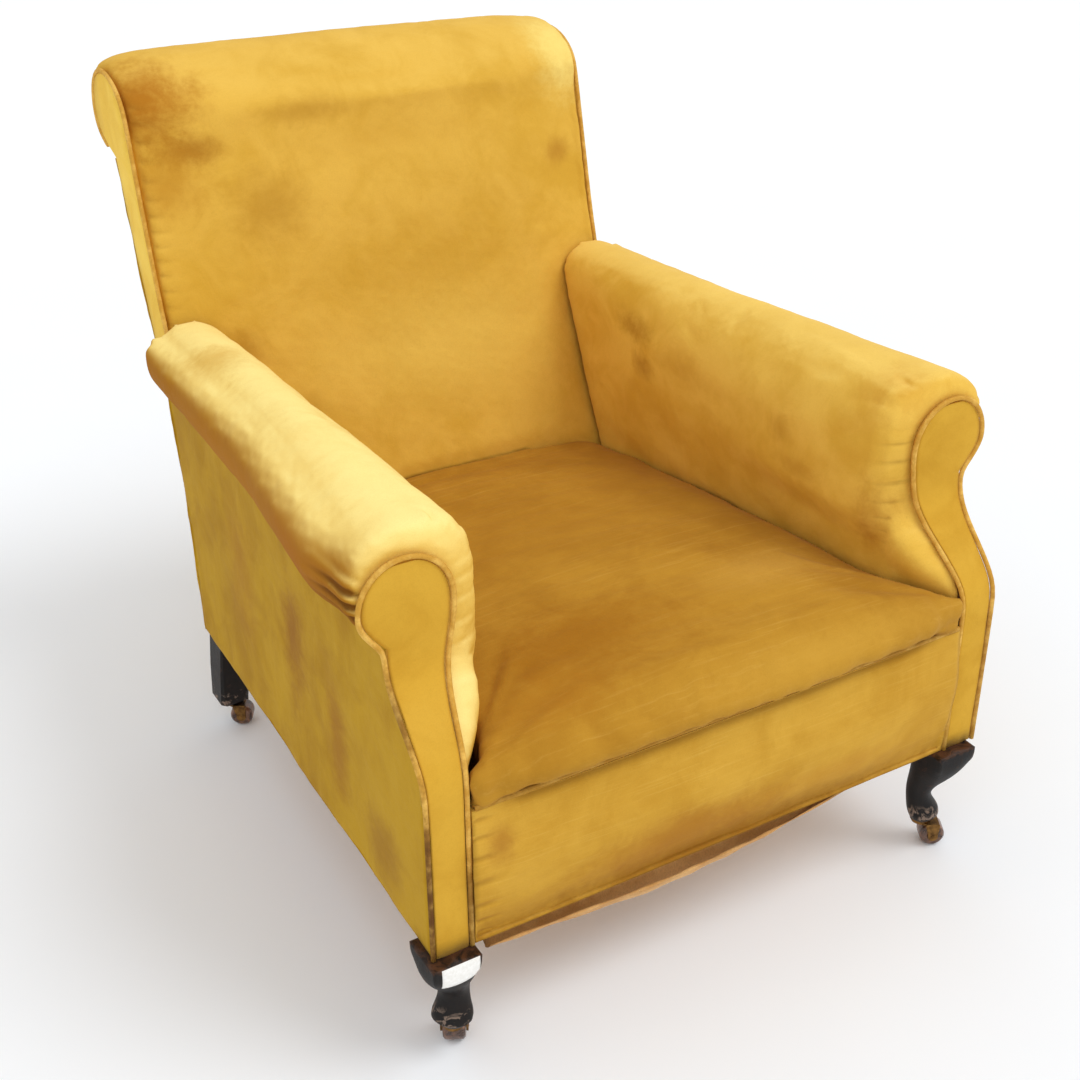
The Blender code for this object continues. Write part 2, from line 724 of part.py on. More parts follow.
def build_castors():
    """Plate, horn and bowl under each foot."""
    crown_bottom = axle_height() + BOWL_RADIUS + CROWN_CLEAR
    shaped = horn_mesh()
    for name, sign, end, heading in CASTORS:
        x, y = castor_axis(sign, end)
        build_plate("castor_plate_" + name, x, y, crown_bottom)
        horn = bpy.data.objects.new("castor_horn_" + name, shaped)
        CHAIR.objects.link(horn)
        horn.parent = ROOT
        horn.location = (x, y, 0.0)
        horn.rotation_euler.z = math.atan2(heading[1], heading[0])
        length = math.hypot(*heading)
        bowl_x = x + TRAIL * heading[0] / length
        bowl_y = y + TRAIL * heading[1] / length
        build_bowl("castor_bowl_" + name, bowl_x, bowl_y, heading)


# Springing
def lattice(name, u_strips, v_strips, place, thick, finish, offset):
    """Crossed strips as one sheet: a grid cut on the strip edges, its holes left out."""
    def lines(strips):
        cuts = [0.0]
        for start, end in strips:
            cuts += [start, end]
        return cuts + [1.0]

    us = lines(u_strips)
    vs = lines(v_strips)
    bm = bmesh.new()
    verts = {}
    for i in range(len(us) - 1):
        for j in range(len(vs) - 1):
            if i % 2 == 0 and j % 2 == 0:
                continue
            corners = ((i, j), (i + 1, j), (i + 1, j + 1), (i, j + 1))
            for key in corners:
                if key not in verts:
                    verts[key] = bm.verts.new(place(us[key[0]], vs[key[1]]))
            bm.faces.new([verts[key] for key in corners])
    mesh = bpy.data.meshes.new(name)
    bm.to_mesh(mesh)
    bm.free()
    obj = add_object(name, mesh, finish)
    solidify = obj.modifiers.new("thickness", "SOLIDIFY")
    solidify.thickness = thick
    solidify.offset = offset
    return obj


def strips(count, width, length, margin):
    """Evenly spaced strips as (start, end) shares of a length."""
    step = (length - 2.0 * margin - width) / (count - 1)
    starts = [margin + step * i for i in range(count)]
    return [(start / length, (start + width) / length) for start in starts]


def build_seat_webbing():
    """Five webs front to back and four across, tacked under the rails."""
    front = FRONT_FACE_Y + FACING_THICK + 0.006
    rear = frame_rear_y(RAIL_BOTTOM) - 0.006
    length = rear - front
    width = 0.60

    def place(u, v):
        y = front + length * v
        reach = core_in(y, RAIL_BOTTOM) + 0.020
        x = (2.0 * u - 1.0) * reach
        return x, y, web_z(x, y)

    lattice("seat_webbing", strips(5, WEB_WIDTH, width, 0.055), strips(4, WEB_WIDTH, length, 0.075),
            place, WEB_THICK, "webbing", -1.0)


def spring_points(x, y, bottom, top):
    """Hourglass coil whose end turns lie flat."""
    points = []
    steps = 8
    flat = 0.9
    for i in range(SPRING_TURNS * steps + 1):
        turn = i / steps
        share = min(max((turn - flat) / (SPRING_TURNS - 2.0 * flat), 0.0), 1.0)
        waist = 1.0 - abs(2.0 * share - 1.0)
        radius = SPRING_RADIUS + (SPRING_WAIST - SPRING_RADIUS) * waist
        angle = 2.0 * math.pi * turn
        z = bottom + (top - bottom) * share
        points.append((x + radius * math.cos(angle), y + radius * math.sin(angle), z))
    return points


def build_springs():
    """Nine hourglass springs between the webbing and the hessian."""
    wire = SPRING_WIRE / 2.0
    number = 1
    for y in SPRING_YS:
        for x in SPRING_XS:
            ring = [(x + SPRING_RADIUS * math.cos(a * math.pi / 8.0),
                     y + SPRING_RADIUS * math.sin(a * math.pi / 8.0)) for a in range(16)]
            bottom = max(web_z(*point) for point in ring) + wire + 2.0 * GAP
            top = min(hessian_z(*point) for point in ring) - wire - 2.0 * GAP
            tube("seat_spring_%d" % number, spring_points(x, y, bottom, top), wire, "steel", 0)
            number += 1


def build_spring_hessian():
    """Hessian over the springs, tacked on top of the rails."""
    front = FRONT_FACE_Y + FACING_THICK + 0.004
    rear = frame_front_y(RAIL_BOTTOM) - 0.014
    xs = list(HESSIAN_XS[1:]) + list(HESSIAN_EDGE_XS)
    columns = [-x for x in xs[::-1]] + [0.0] + xs

    def place(x, y):
        return x, y, hessian_z(x, y)

    rows = [front] + list(HESSIAN_YS[:-1]) + [HESSIAN_YS[-1], rear]
    sheet("spring_hessian", place, columns, rows, HESSIAN, "hessian", 1.0)


def build_bottom_cloth():
    """Lining below; its front end has come loose and hangs in a fold."""
    front = FRONT_FACE_Y + FACING_THICK + 0.001
    rear = CLOTH_REAR

    def place(u, y):
        past_front = ease((y - CLOTH_LEG_FRONT) / 0.020)
        before_rear = 1.0 - ease((y - CLOTH_LEG_REAR) / 0.020)
        wide = past_front * before_rear
        x = (2.0 * u - 1.0) * (CLOTH_LEG_HALF + (CLOTH_HALF - CLOTH_LEG_HALF) * wide)
        across = math.cos(min(abs(x) / 0.30, 1.0) * math.pi / 2.0)
        middle = math.sin(math.pi * min(max((y - front) / (rear - front), 0.0), 1.0))
        fold = math.exp(-((y - front - 0.009) / 0.012) ** 2)
        hang = along(DROOP, x) * fold
        return x, y, RAIL_BOTTOM - WEB_THICK - 3.0 * GAP - CLOTH_SAG * across * middle - hang

    folds = [front + step for step in (0.0, 0.004, 0.009, 0.014, 0.022, 0.034, 0.048)]
    rows = folds + [-0.278, -0.180, 0.000, 0.180, 0.236, 0.256, rear]
    sheet("bottom_cloth", place, shares(12), rows, CLOTH, "lining", -1.0)


# Stuffed seat
def seat_half(y):
    """Half width of the seat: out to the facings in front, between the arms behind."""
    return min(LIP_HALF, arm_face_x(y, along(SEAT_PROFILE, y)) - SLIDE - 0.001)


def seat_row(y_at, top, bottom, half):
    """Ring across the seat: its top from left to right, then its underside back."""
    columns = [-x for x in HESSIAN_XS[:0:-1]] + list(HESSIAN_XS)
    edge = HESSIAN_XS[-1]
    upper = []
    lower = []
    for place in [-1.0] + columns + [1.0]:
        x = math.copysign(half, place) if abs(place) == 1.0 else place * min(1.0, half / edge)
        upper.append((x, y_at(x, top(x)), top(x)))
        lower.append((x, y_at(x, bottom(x)), bottom(x)))
    return upper + lower[::-1]


def build_seat_pad():
    """Seat stuffing from back to front, rolled over at the front edge above the seam."""
    rail_top = RAIL_BOTTOM + SEAT_RAIL_HEIGHT
    under = rail_top + HESSIAN + 3.0 * GAP
    rings = []

    def soft_top(y):
        def height(x):
            share = abs(x) / seat_half(y)
            return seat_z(x, y) - 0.010 * max(0.0, (share - 0.80) / 0.20) ** 2
        return height

    def floor_at(y):
        def height(x):
            return hessian_z(x, y) + 2.0 * HESSIAN + 2.0 * GAP
        return height

    rear = HESSIAN_YS[-1]
    foot = face_y(under) - SLIDE
    rings.append(seat_row(lambda x, z: face_y(z) - SLIDE, soft_top(rear),
                          lambda x: max(under, floor_at(foot)(x)), seat_half(rear)))
    for y in HESSIAN_YS[-2::-1]:
        if y < rear:
            rings.append(seat_row(lambda x, z, y=y: y, soft_top(y), floor_at(y), seat_half(y)))
    back = FRONT_FACE_Y + FACING_THICK + 2.0 * GAP
    lip = ((-0.335, 0.0, under), (back, 0.0, under), (back - GAP, 0.0, LIP_BOTTOM),
           (-0.3555, 0.006, LIP_BOTTOM), (-0.3640, 0.015, LIP_BOTTOM + 0.004),
           (SEAT_LIP_Y, 0.032, LIP_BOTTOM + 0.014))
    for y, drop, low in lip:
        half = (LIP_HALF if y < back + GAP else seat_half(y) - SLIDE) - 0.25 * drop

        def front(x, z, y=y):
            return y if y > back else back + (y - back) * (1.0 - 0.8 * (abs(x) / LIP_HALF) ** 10)

        rings.append(seat_row(front, lambda x, drop=drop: soft_top(back)(x) - drop,
                              lambda x, low=low: low, half))
    loft("seat_pad", rings, "velvet_seat", 60.0, True)


def border_face_y(z):
    """Front of the border, swollen between the rail and the seam."""
    share = min(max((z - RAIL_BOTTOM) / (SEAM_Z - RAIL_BOTTOM), 0.0), 1.0)
    return FRONT_FACE_Y - 0.001 - BORDER_BULGE * math.sin(math.pi * share) ** 0.8 - 0.004 * share


def build_front_border():
    """Stuffed border across the front, from under the rail up to the seam."""
    reach = FACING_INNER_X - CORD - 2.0 * GAP
    rings = []
    for i in range(9):
        x = reach * (2.0 * i / 8.0 - 1.0)
        soft = 1.0 - 0.6 * abs(2.0 * i / 8.0 - 1.0) ** 6
        ring = []
        rows = 6
        for j in range(rows + 1):
            z = RAIL_BOTTOM + GAP + (SEAM_Z - 2.0 * GAP - RAIL_BOTTOM) * j / rows
            y = FRONT_FACE_Y + (border_face_y(z) - FRONT_FACE_Y) * soft
            ring.append((x, y, z))
        back = FRONT_FACE_Y + FACING_THICK
        ring.append((x, back, SEAM_Z - GAP))
        ring.append((x, back, RAIL_BOTTOM + GAP))
        rings.append(ring)
    loft("front_border", rings, "velvet", 50.0)


def build_seam_cord():
    """Cord in the seam below the lip of the seat."""
    radius = (LIP_BOTTOM - SEAM_Z) / 2.0 - GAP
    points = []
    for share in shares(14):
        x = (LIP_HALF - 0.001) * (2.0 * share - 1.0)
        points.append((x, FRONT_FACE_Y - 0.003, SEAM_Z + radius + GAP))
    tube("front_border_cord", points, radius, "velvet_cord", 1)


# Arms
HEAD_ANGLES = (0, 15, 30, 45, 60, 74)


def facing_outer_x(z):
    """Outer outline of the facing: straight, then out round the head of the scroll."""
    if z <= ARM_NECK_Z:
        return SIDE_FRONT_X
    if z <= FACING_HEAD_Z:
        head = FACING_HEAD_X + FACING_HEAD_HALF
        share = (z - ARM_NECK_Z) / (FACING_HEAD_Z - ARM_NECK_Z)
        return SIDE_FRONT_X + (head - SIDE_FRONT_X) * math.sin(share * math.pi / 2.0)
    return FACING_HEAD_X + head_half(z)


def facing_inner_x(z):
    """Inner outline of the facing: straight beside the seat, sweeping in to the scroll."""
    if z <= FACING_HEAD_Z:
        head = FACING_HEAD_X - FACING_HEAD_HALF
        share = ease((z - 0.325) / (FACING_HEAD_Z - 0.325))
        return FACING_INNER_X + (head - FACING_INNER_X) * share
    return FACING_HEAD_X - head_half(z)


def head_half(z):
    """Half width of the round head of the facing."""
    rise = min((z - FACING_HEAD_Z) / FACING_HEAD_RISE, 1.0)
    return FACING_HEAD_HALF * math.sqrt(max(1.0 - rise * rise, 0.0))


def low_levels():
    """Heights shared by all that follows the sweep of the arm's front."""
    return [RAIL_BOTTOM, 0.200, 0.250, 0.300, 0.335, 0.352, 0.368, 0.384, 0.400, 0.418, 0.438]


def facing_levels():
    """Those heights, then the neck and the arch of the cord line."""
    neck = [ARM_NECK_Z, 0.466, 0.478, 0.487]
    arch = [FACING_HEAD_Z + FACING_HEAD_RISE * math.sin(math.radians(a)) for a in HEAD_ANGLES]
    return low_levels() + neck + arch


def build_facing(side, sign):
    """Flat velvet panel on the front of the arm, inside its cord."""
    inset = CORD + 2.0 * GAP
    rings = []

    def add(outer, inner, z):
        front = facing_y(z)
        middle = (outer + inner) / 2.0
        rings.append([(sign * outer, front, z), (sign * middle, front - 0.0015, z),
                      (sign * inner, front, z), (sign * inner, front + FACING_THICK, z),
                      (sign * middle, front + FACING_THICK, z),
                      (sign * outer, front + FACING_THICK, z)])

    step = 0.001
    for z in facing_levels()[:-len(HEAD_ANGLES)]:
        flare = (facing_outer_x(z + step) - facing_outer_x(z - step)) / (2.0 * step)
        sweep = (facing_inner_x(z + step) - facing_inner_x(z - step)) / (2.0 * step)
        add(facing_outer_x(z) - inset * math.hypot(1.0, flare),
            facing_inner_x(z) + inset * math.hypot(1.0, sweep), z)
    for degrees in HEAD_ANGLES:
        angle = math.radians(degrees)
        half = (FACING_HEAD_HALF - inset) * math.cos(angle)
        z = FACING_HEAD_Z + (FACING_HEAD_RISE - inset) * math.sin(angle)
        add(FACING_HEAD_X + half, FACING_HEAD_X - half, z)
    loft("arm_facing_" + side, rings, "velvet", 50.0, True)


def facing_outline():
    """Cord line round the facing: up the inner edge, over the head, down the outer edge."""
    levels = facing_levels()
    top = FACING_HEAD_Z + FACING_HEAD_RISE
    up = [(facing_inner_x(z), facing_y(z), z) for z in levels]
    down = [(facing_outer_x(z), facing_y(z), z) for z in reversed(levels)]
    return up + [(FACING_HEAD_X, facing_y(top), top)] + down


def roll_at(y):
    """Centre, half width and top of the arm roll at a place along the arm."""
    share = (y + 0.28) / 0.65
    return along(ROLL_X, share), along(ROLL_HALF, share), along(ROLL_TOP, share)


def arm_face_x(y, z):
    """Inner face of the stuffed arm, from seat height out to the widest of the roll."""
    centre, half, top = roll_at(y)
    lean = ease((z - 0.310) / 0.130)
    return arm_inner_x(y) + (centre - half - arm_inner_x(y)) * lean


ARM_STATIONS = (0.0, 0.008, 0.020, 0.05, 0.11, 0.25, 0.42, 0.60, 0.80, 1.0)
ROLL_STEPS = 11


def arm_section(share):
    """Ring of the stuffed arm: up its inner side and over the roll, then back along the frame."""
    skin = []
    core = []
    spread = 0.35 + 0.65 * math.sqrt(ease(share / 0.018))

    def y_at(z):
        start = facing_back_y(z)
        return start + (face_y(z) - SLIDE - start) * share

    y_roll = y_at(FACING_HEAD_Z)
    centre, half, top = roll_at(y_roll)
    bottom = ARM_NECK_Z + GAP
    middle_z = (top + bottom) / 2.0
    z_top = core_top(y_roll) + 3.0 * GAP
    for z in [ARM_PAD_BOTTOM] + low_levels()[3:] + [ARM_NECK_Z, 0.475]:
        y = y_at(z)
        edge = facing_inner_x(z)
        skin.append((edge + (arm_face_x(y, z) - edge) * spread, y, z))
        level = min(z, z_top)
        core.append((core_in(y, level) - ARM_SLIDE, y_at(level), level))
    for i in range(ROLL_STEPS + 1):
        step = i / ROLL_STEPS
        angle = math.radians(176.0 - 252.0 * step)
        above = math.sin(angle) > 0.0
        rise = (top - middle_z) if above else (middle_z - bottom)
        front_rise = FACING_HEAD_RISE if above else FACING_HEAD_Z - bottom
        front_x = FACING_HEAD_X + FACING_HEAD_HALF * math.cos(angle)
        front_z = FACING_HEAD_Z + front_rise * math.sin(angle)
        x = front_x + (centre + half * math.cos(angle) - front_x) * spread
        z = front_z + (middle_z + rise * math.sin(angle) - front_z) * spread
        if angle < 0.0:
            x = max(x, side_x(y_at(z), z) + 2.0 * ARM_SLIDE)
        skin.append((x, y_at(z), z))
        across = min(max((step - 0.10) / 0.62, 0.0), 1.0)
        down = min(max((step - 0.72) / 0.28, 0.0), 1.0)
        level = z_top + (ARM_NECK_Z + 0.002 - z_top) * down
        y = y_at(level)
        inner = core_in(y, z_top) - ARM_SLIDE
        outer = core_out(y, level) + ARM_SLIDE
        core.append((inner + (outer - inner) * across, y, level))
    y = y_at(bottom)
    skin.append((side_x(y, bottom) + GAP, y, bottom))
    core.append((core_out(y, bottom) + 2.0 * ARM_SLIDE, y, bottom))
    return skin + core[::-1]


def build_arm_pad(side, sign):
    """Inside arm, roll and stuffing in one form from the facing to the back."""
    rings = []
    for share in ARM_STATIONS:
        rings.append([(sign * x, y, z) for x, y, z in arm_section(share)])
    loft("arm_pad_" + side, rings, "velvet", 60.0, True)


def build_outside_arm(side, sign):
    """Cover of the side, from the roll down to the rail and back to the rear corner."""
    def place(u, z):
        start = facing_back_y(z)
        y = start + (rear_y(z) - COVER - GAP - start) * u
        return sign * side_x(y, z), y, z

    levels = low_levels() + [ARM_NECK_Z - 0.001]
    sheet("outside_arm_" + side, place, shares(6), levels, COVER, "velvet", -sign)


def build_arms():
    for side, sign in SIDES:
        build_facing(side, sign)
        outline = [(sign * x, y, z) for x, y, z in facing_outline()]
        tube("arm_cord_" + side, outline, CORD, "velvet_cord", 1)
        build_arm_pad(side, sign)
        build_outside_arm(side, sign)


# Back
def back_half(z):
    """Half width of the stuffed back: between the arm frames below, full width above."""
    between_arms = core_in(rear_y(BACK_STEP_Z), BACK_STEP_Z) - BACK_ARM_CLEAR
    return between_arms if z < BACK_STEP_Z else BACK_HALF


def back_section():
    """Side view of the stuffed back: up its front and over the roll, with the frame behind."""
    front = []
    frame = []
    for z in (BACK_BOTTOM, 0.300, 0.370, 0.455, 0.472, 0.486, 0.520, 0.580, 0.610, 0.640, 0.690):
        front.append((face_y(z), z))
        frame.append((frame_front_y(z) - BACK_SKIN, z))
    seat = POST_TOP + GAP
    for i in range(ROLL_STEPS + 3):
        step = i / (ROLL_STEPS + 2)
        angle = math.radians(194.0 - 284.0 * step)
        reach = BACK_ROLL_FRONT if math.cos(angle) < 0.0 else BACK_ROLL_REAR
        rise = BACK_ROLL_UP if math.sin(angle) > 0.0 else BACK_ROLL_DOWN
        front.append((BACK_ROLL_Y + reach * math.cos(angle), BACK_ROLL_Z + rise * math.sin(angle)))
        run = min(max((step - 0.25) / 0.75, 0.0), 1.0)
        start = frame_front_y(POST_TOP) - BACK_SKIN
        frame.append((start + (frame_rear_y(POST_TOP) + COVER - start) * run, seat))
    return front, frame


def build_back_pad():
    """Inside back with its roll, crowned between its two edges and rounded at the ends."""
    front, frame = back_section()
    centre = Vector((BACK_ROLL_Y, BACK_ROLL_Z))
    rings = []
    for share in (-1.0, -0.98, -0.93, -0.80, -0.40, 0.40, 0.80, 0.93, 0.98, 1.0):
        edge = max(0.0, (abs(share) - 0.78) / 0.22) ** 3
        outer = []
        inner = []
        for y, z in front:
            x = share * back_half(z)
            roll = min(max((z - 0.690) / 0.05, 0.0), 1.0)
            inward = (centre - Vector((y, z))).normalized()
            push = Vector((1.0, 0.0)).lerp(inward, roll) * BACK_EDGE_DROP * edge
            hem = 0.0 if y > BACK_ROLL_Y and z < BACK_ROLL_Z - 0.02 else 1.0
            tilt = -ROLL_SKEW * share * roll * hem
            outer.append((x, y + push.x * hem, z + push.y * hem + tilt))
        for y, z in frame:
            inner.append((share * back_half(z), y, z))
        rings.append(outer + inner[::-1])
    loft("back_pad", rings, "velvet", 60.0, True)


def side_outline(inset, sign):
    """Scroll-shaped outline of the back's side facing, inset from the cord line."""
    cover = COVER + 4.0 * GAP
    points = [(rear_y(0.468) - cover, 0.468)]
    points += [(face_y(z) + BACK_EDGE_DROP + inset, z) for z in (0.468, 0.52, 0.58, 0.64, 0.69)]
    for i in range(13):
        angle = math.radians(178.0 - 250.0 * i / 12.0)
        reach = (0.070 if math.cos(angle) < 0.0 else 0.052) - inset
        rise = (0.050 if math.sin(angle) > 0.0 else 0.036) - inset
        y = 0.520 + reach * math.cos(angle)
        z = 0.742 + rise * math.sin(angle) - sign * ROLL_SKEW * ease((0.5 + 0.5 * math.sin(angle)))
        points.append((y, z))
    points.append((rear_y(POST_TOP) - cover, POST_TOP + GAP))
    points.append((rear_y(0.610) - cover, 0.610))
    return points


def build_back_sides():
    """Flat facing with a cord round it on each side of the back."""
    thick = 0.0036
    for side, sign in SIDES:
        facing = board("back_facing_" + side, side_outline(CORD + GAP, sign), thick, "velvet")
        facing.rotation_euler = (math.pi / 2.0, 0.0, math.pi / 2.0)
        facing.location = (sign * (BACK_HALF + GAP + thick / 2.0), 0.0, 0.0)
        line = side_outline(0.0, sign)[1:-2]
        x = sign * (BACK_HALF + GAP + CORD)
        tube("back_cord_" + side, [(x, y, z) for y, z in line], CORD, "velvet_cord", 1)


def back_panel_half(z):
    """Half width of the outside back."""
    low = side_x(rear_y(z), z)
    blend = ease((z - ARM_NECK_Z) / 0.05)
    return low + (BACK_PANEL_HALF - low) * blend


def build_outside_back():
    """Cover of the back, from the rear rail up to the underside of the roll."""
    def place(u, z):
        return (2.0 * u - 1.0) * back_panel_half(z), rear_y(z), z

    levels = (RAIL_BOTTOM, 0.225, 0.300, 0.345, 0.400, ARM_NECK_Z, 0.470, 0.490, 0.520, 0.610,
              0.660, POST_TOP - SLIDE)
    sheet("outside_back", place, shares(6), levels, COVER, "velvet", 1.0)


def build_back_webbing():
    """Upright and cross webs on the front of the back frame."""
    bottom = STUFFING_RAIL_Z + 0.004
    top = POST_TOP - 0.012
    bends = [z for z, y in REAR_PROFILE[1:-1]]

    def place(u, v):
        z = bottom + (top - bottom) * v
        return (2.0 * u - 1.0) * BACK_WEB_REACH, frame_front_y(z) - GAP, z

    across = [((z - bottom) / (top - bottom), (z + WEB_WIDTH - bottom) / (top - bottom))
              for z in bends]
    lattice("back_webbing", strips(3, WEB_WIDTH, 2.0 * BACK_WEB_REACH, 0.085), across, place,
            WEB_THICK, "webbing", 1.0)


def centre_over_origin():
    """Shift the whole chair so that its box is centred on the origin in plan."""
    bpy.context.view_layer.update()
    graph = bpy.context.evaluated_depsgraph_get()
    low = [1e9, 1e9]
    high = [-1e9, -1e9]
    for obj in CHAIR.objects:
        if obj is ROOT:
            continue
        mesh = bpy.data.meshes.new_from_object(obj.evaluated_get(graph))
        for vert in mesh.vertices:
            place = obj.matrix_world @ vert.co
            for axis in (0, 1):
                low[axis] = min(low[axis], place[axis])
                high[axis] = max(high[axis], place[axis])
        bpy.data.meshes.remove(mesh)
    ROOT.location = (-(low[0] + high[0]) / 2.0, -(low[1] + high[1]) / 2.0, 0.0)
    bpy.context.view_layer.update()


def build_chair():
    build_seat_rails()
    build_back_posts()
    build_arm_frames()
    build_back_rails()
    build_front_legs()
    build_castors()
    build_seat_webbing()
    build_springs()
    build_spring_hessian()
    build_bottom_cloth()
    build_seat_pad()
    build_front_border()
    build_seam_cord()
    build_arms()
    build_back_webbing()
    build_back_pad()
    build_back_sides()
    build_outside_back()
    centre_over_origin()


clear_scene()
CHAIR = new_collection("scroll_armchair")
CUTTERS = new_collection("cutters")
ROOT = bpy.data.objects.new("chair_root", None)
CHAIR.objects.link(ROOT)
build_chair()
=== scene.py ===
# %% [markdown]
# # A worn scroll-arm armchair, dressed for a studio picture
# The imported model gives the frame: every piece below sits in the same metres as the solids.
# Soft solids are copied, smoothed, swelled with cloth pressure, folded by displacement along
# their normals and given velvet. Hard parts keep their solids and get their finishes.

# %% The frame
import json
import math

import bmesh
import bpy
import numpy as np
from mathutils import Matrix, Vector
from mathutils.bvhtree import BVHTree

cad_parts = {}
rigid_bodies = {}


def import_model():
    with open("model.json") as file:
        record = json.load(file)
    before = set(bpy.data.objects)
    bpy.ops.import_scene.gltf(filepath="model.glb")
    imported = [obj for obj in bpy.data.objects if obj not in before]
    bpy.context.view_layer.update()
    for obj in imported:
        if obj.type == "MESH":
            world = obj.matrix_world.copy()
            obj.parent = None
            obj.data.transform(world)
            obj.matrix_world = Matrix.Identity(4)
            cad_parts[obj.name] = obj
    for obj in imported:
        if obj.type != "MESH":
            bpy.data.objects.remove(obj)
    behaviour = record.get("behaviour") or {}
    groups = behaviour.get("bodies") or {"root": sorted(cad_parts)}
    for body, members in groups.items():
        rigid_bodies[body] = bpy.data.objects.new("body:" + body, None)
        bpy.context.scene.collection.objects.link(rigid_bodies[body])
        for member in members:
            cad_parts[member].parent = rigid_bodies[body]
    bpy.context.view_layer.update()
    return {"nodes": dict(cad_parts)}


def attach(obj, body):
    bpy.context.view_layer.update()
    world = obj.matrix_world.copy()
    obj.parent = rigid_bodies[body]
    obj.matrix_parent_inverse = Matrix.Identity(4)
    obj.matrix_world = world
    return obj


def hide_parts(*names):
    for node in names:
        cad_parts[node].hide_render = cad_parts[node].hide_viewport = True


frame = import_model()
NODES = frame["nodes"]
# Added to a depth in the chair's own drawing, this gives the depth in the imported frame.
SHIFT_Y = -0.1165
TAU = 2.0 * math.pi

# %% [markdown]
# ## Camera
# The angle was fitted to the picture: the chair's own left-right symmetry fixes the direction,
# the floor under its feet fixes the height.

# %% Camera
AZIMUTH, ELEVATION, ROLL = math.radians(-30.21), math.radians(29.52), math.radians(-0.44)
SENSOR, LENS = 36.0, 53.49
CAMERA_AT = (-0.8215, -1.3791 + SHIFT_Y, 1.2423)
camera_data = bpy.data.cameras.new("camera")
camera_data.sensor_width = SENSOR
camera_data.lens = LENS
camera = bpy.data.objects.new("camera", camera_data)
bpy.context.scene.collection.objects.link(camera)
back = Vector((math.sin(AZIMUTH) * math.cos(ELEVATION),
               -math.cos(AZIMUTH) * math.cos(ELEVATION), math.sin(ELEVATION)))
right = Vector((math.cos(AZIMUTH), math.sin(AZIMUTH), 0.0))
up = back.cross(right)
across = math.cos(ROLL) * right + math.sin(ROLL) * up
above = -math.sin(ROLL) * right + math.cos(ROLL) * up
camera.matrix_world = Matrix((across, above, back)).transposed().to_4x4()
camera.location = CAMERA_AT
bpy.context.scene.camera = camera
print("camera at", [round(v, 3) for v in camera.location])

# %% [markdown]
# ## Shader arithmetic
# Node sockets wrapped so that colour recipes read like arithmetic.


# %% Shader arithmetic
class Sock:
    """A node socket with overloaded operators."""

    def __init__(self, tree, socket):
        self.tree, self.socket = tree, socket

    def node(self, kind, settings=None, out=0, **inputs):
        """Any node: settings first, then its inputs by name or by index as i0, i1."""
        made = self.tree.nodes.new(kind)
        for key, value in (settings or {}).items():
            setattr(made, key, value)
        for key, value in inputs.items():
            index = int(key[1:]) if key[0] == "i" and key[1:].isdigit() else key.replace("_", " ")
            target = made.inputs[index]
            if isinstance(value, Sock):
                self.tree.links.new(value.socket, target)
            else:
                target.default_value = value
        return Sock(self.tree, made.outputs[out])

    def math(self, operation, other=0.0):
        return self.node("ShaderNodeMath", {"operation": operation}, i0=self, i1=other)

    def __add__(self, other):
        return self.math("ADD", other)

    def __sub__(self, other):
        return self.math("SUBTRACT", other)

    def __mul__(self, other):
        return self.math("MULTIPLY", other)

    def ramp(self, low, high):
        """Smooth step from 0 at low to 1 at high."""
        return self.node("ShaderNodeMapRange", {"interpolation_type": "SMOOTHSTEP"}, Value=self,
                         From_Min=low, From_Max=high)

    def mix(self, first, second):
        """Colour first where this is 0, second where it is 1."""
        made = self.tree.nodes.new("ShaderNodeMix")
        made.data_type = "RGBA"
        for index, value in ((0, self), (6, first), (7, second)):
            if isinstance(value, Sock):
                self.tree.links.new(value.socket, made.inputs[index])
            else:
                made.inputs[index].default_value = (*value, 1.0)
        return Sock(self.tree, made.outputs[2])

    def noise(self, scale, detail=4.0, rough=0.55, stretch=None, distortion=0.0):
        """Noise over this position; stretch multiplies its axes."""
        place = self
        if stretch:
            place = self.node("ShaderNodeVectorMath", {"operation": "MULTIPLY"}, i0=self,
                              i1=stretch)
        return place.node("ShaderNodeTexNoise", Vector=place, Scale=scale, Detail=detail,
                          Roughness=rough, Distortion=distortion)

    def spot(self, centre, radii, wobble):
        """1 inside a ragged ellipsoid about centre, 0 outside."""
        away = self.node("ShaderNodeVectorMath", {"operation": "SUBTRACT"}, i0=self, i1=centre)
        away = away.node("ShaderNodeVectorMath", {"operation": "DIVIDE"}, i0=away, i1=radii)
        length = away.node("ShaderNodeVectorMath", {"operation": "LENGTH"}, 1, i0=away)
        return (length + wobble * 1.5 - 0.75).ramp(1.15, 0.05)


def rgb(red, green, blue):
    """A colour read off the picture as 8-bit values, in linear light."""
    return tuple(((value / 255.0 + 0.055) / 1.055) ** 2.4 if value > 10 else value / 3294.6
                 for value in (red, green, blue))


def new_material(name, **constants):
    """Material, its position socket, and a function that joins sockets to its shader."""
    material = bpy.data.materials.new(name)
    material.use_nodes = True
    tree = material.node_tree
    shader = tree.nodes["Principled BSDF"]
    for key, value in constants.items():
        shader.inputs[key.replace("_", " ")].default_value = value
    coords = tree.nodes.new("ShaderNodeTexCoord")
    place = Sock(tree, coords.outputs["Object"])

    def join(**sockets):
        for key, value in sockets.items():
            tree.links.new(value.socket, shader.inputs[key.replace("_", " ")])

    def bump(height, distance, strength=1.0):
        made = tree.nodes.new("ShaderNodeBump")
        made.inputs["Strength"].default_value = strength
        made.inputs["Distance"].default_value = distance
        tree.links.new(height.socket, made.inputs["Height"])
        tree.links.new(made.outputs[0], shader.inputs["Normal"])

    return material, place, join, bump


print("shader helpers ready")

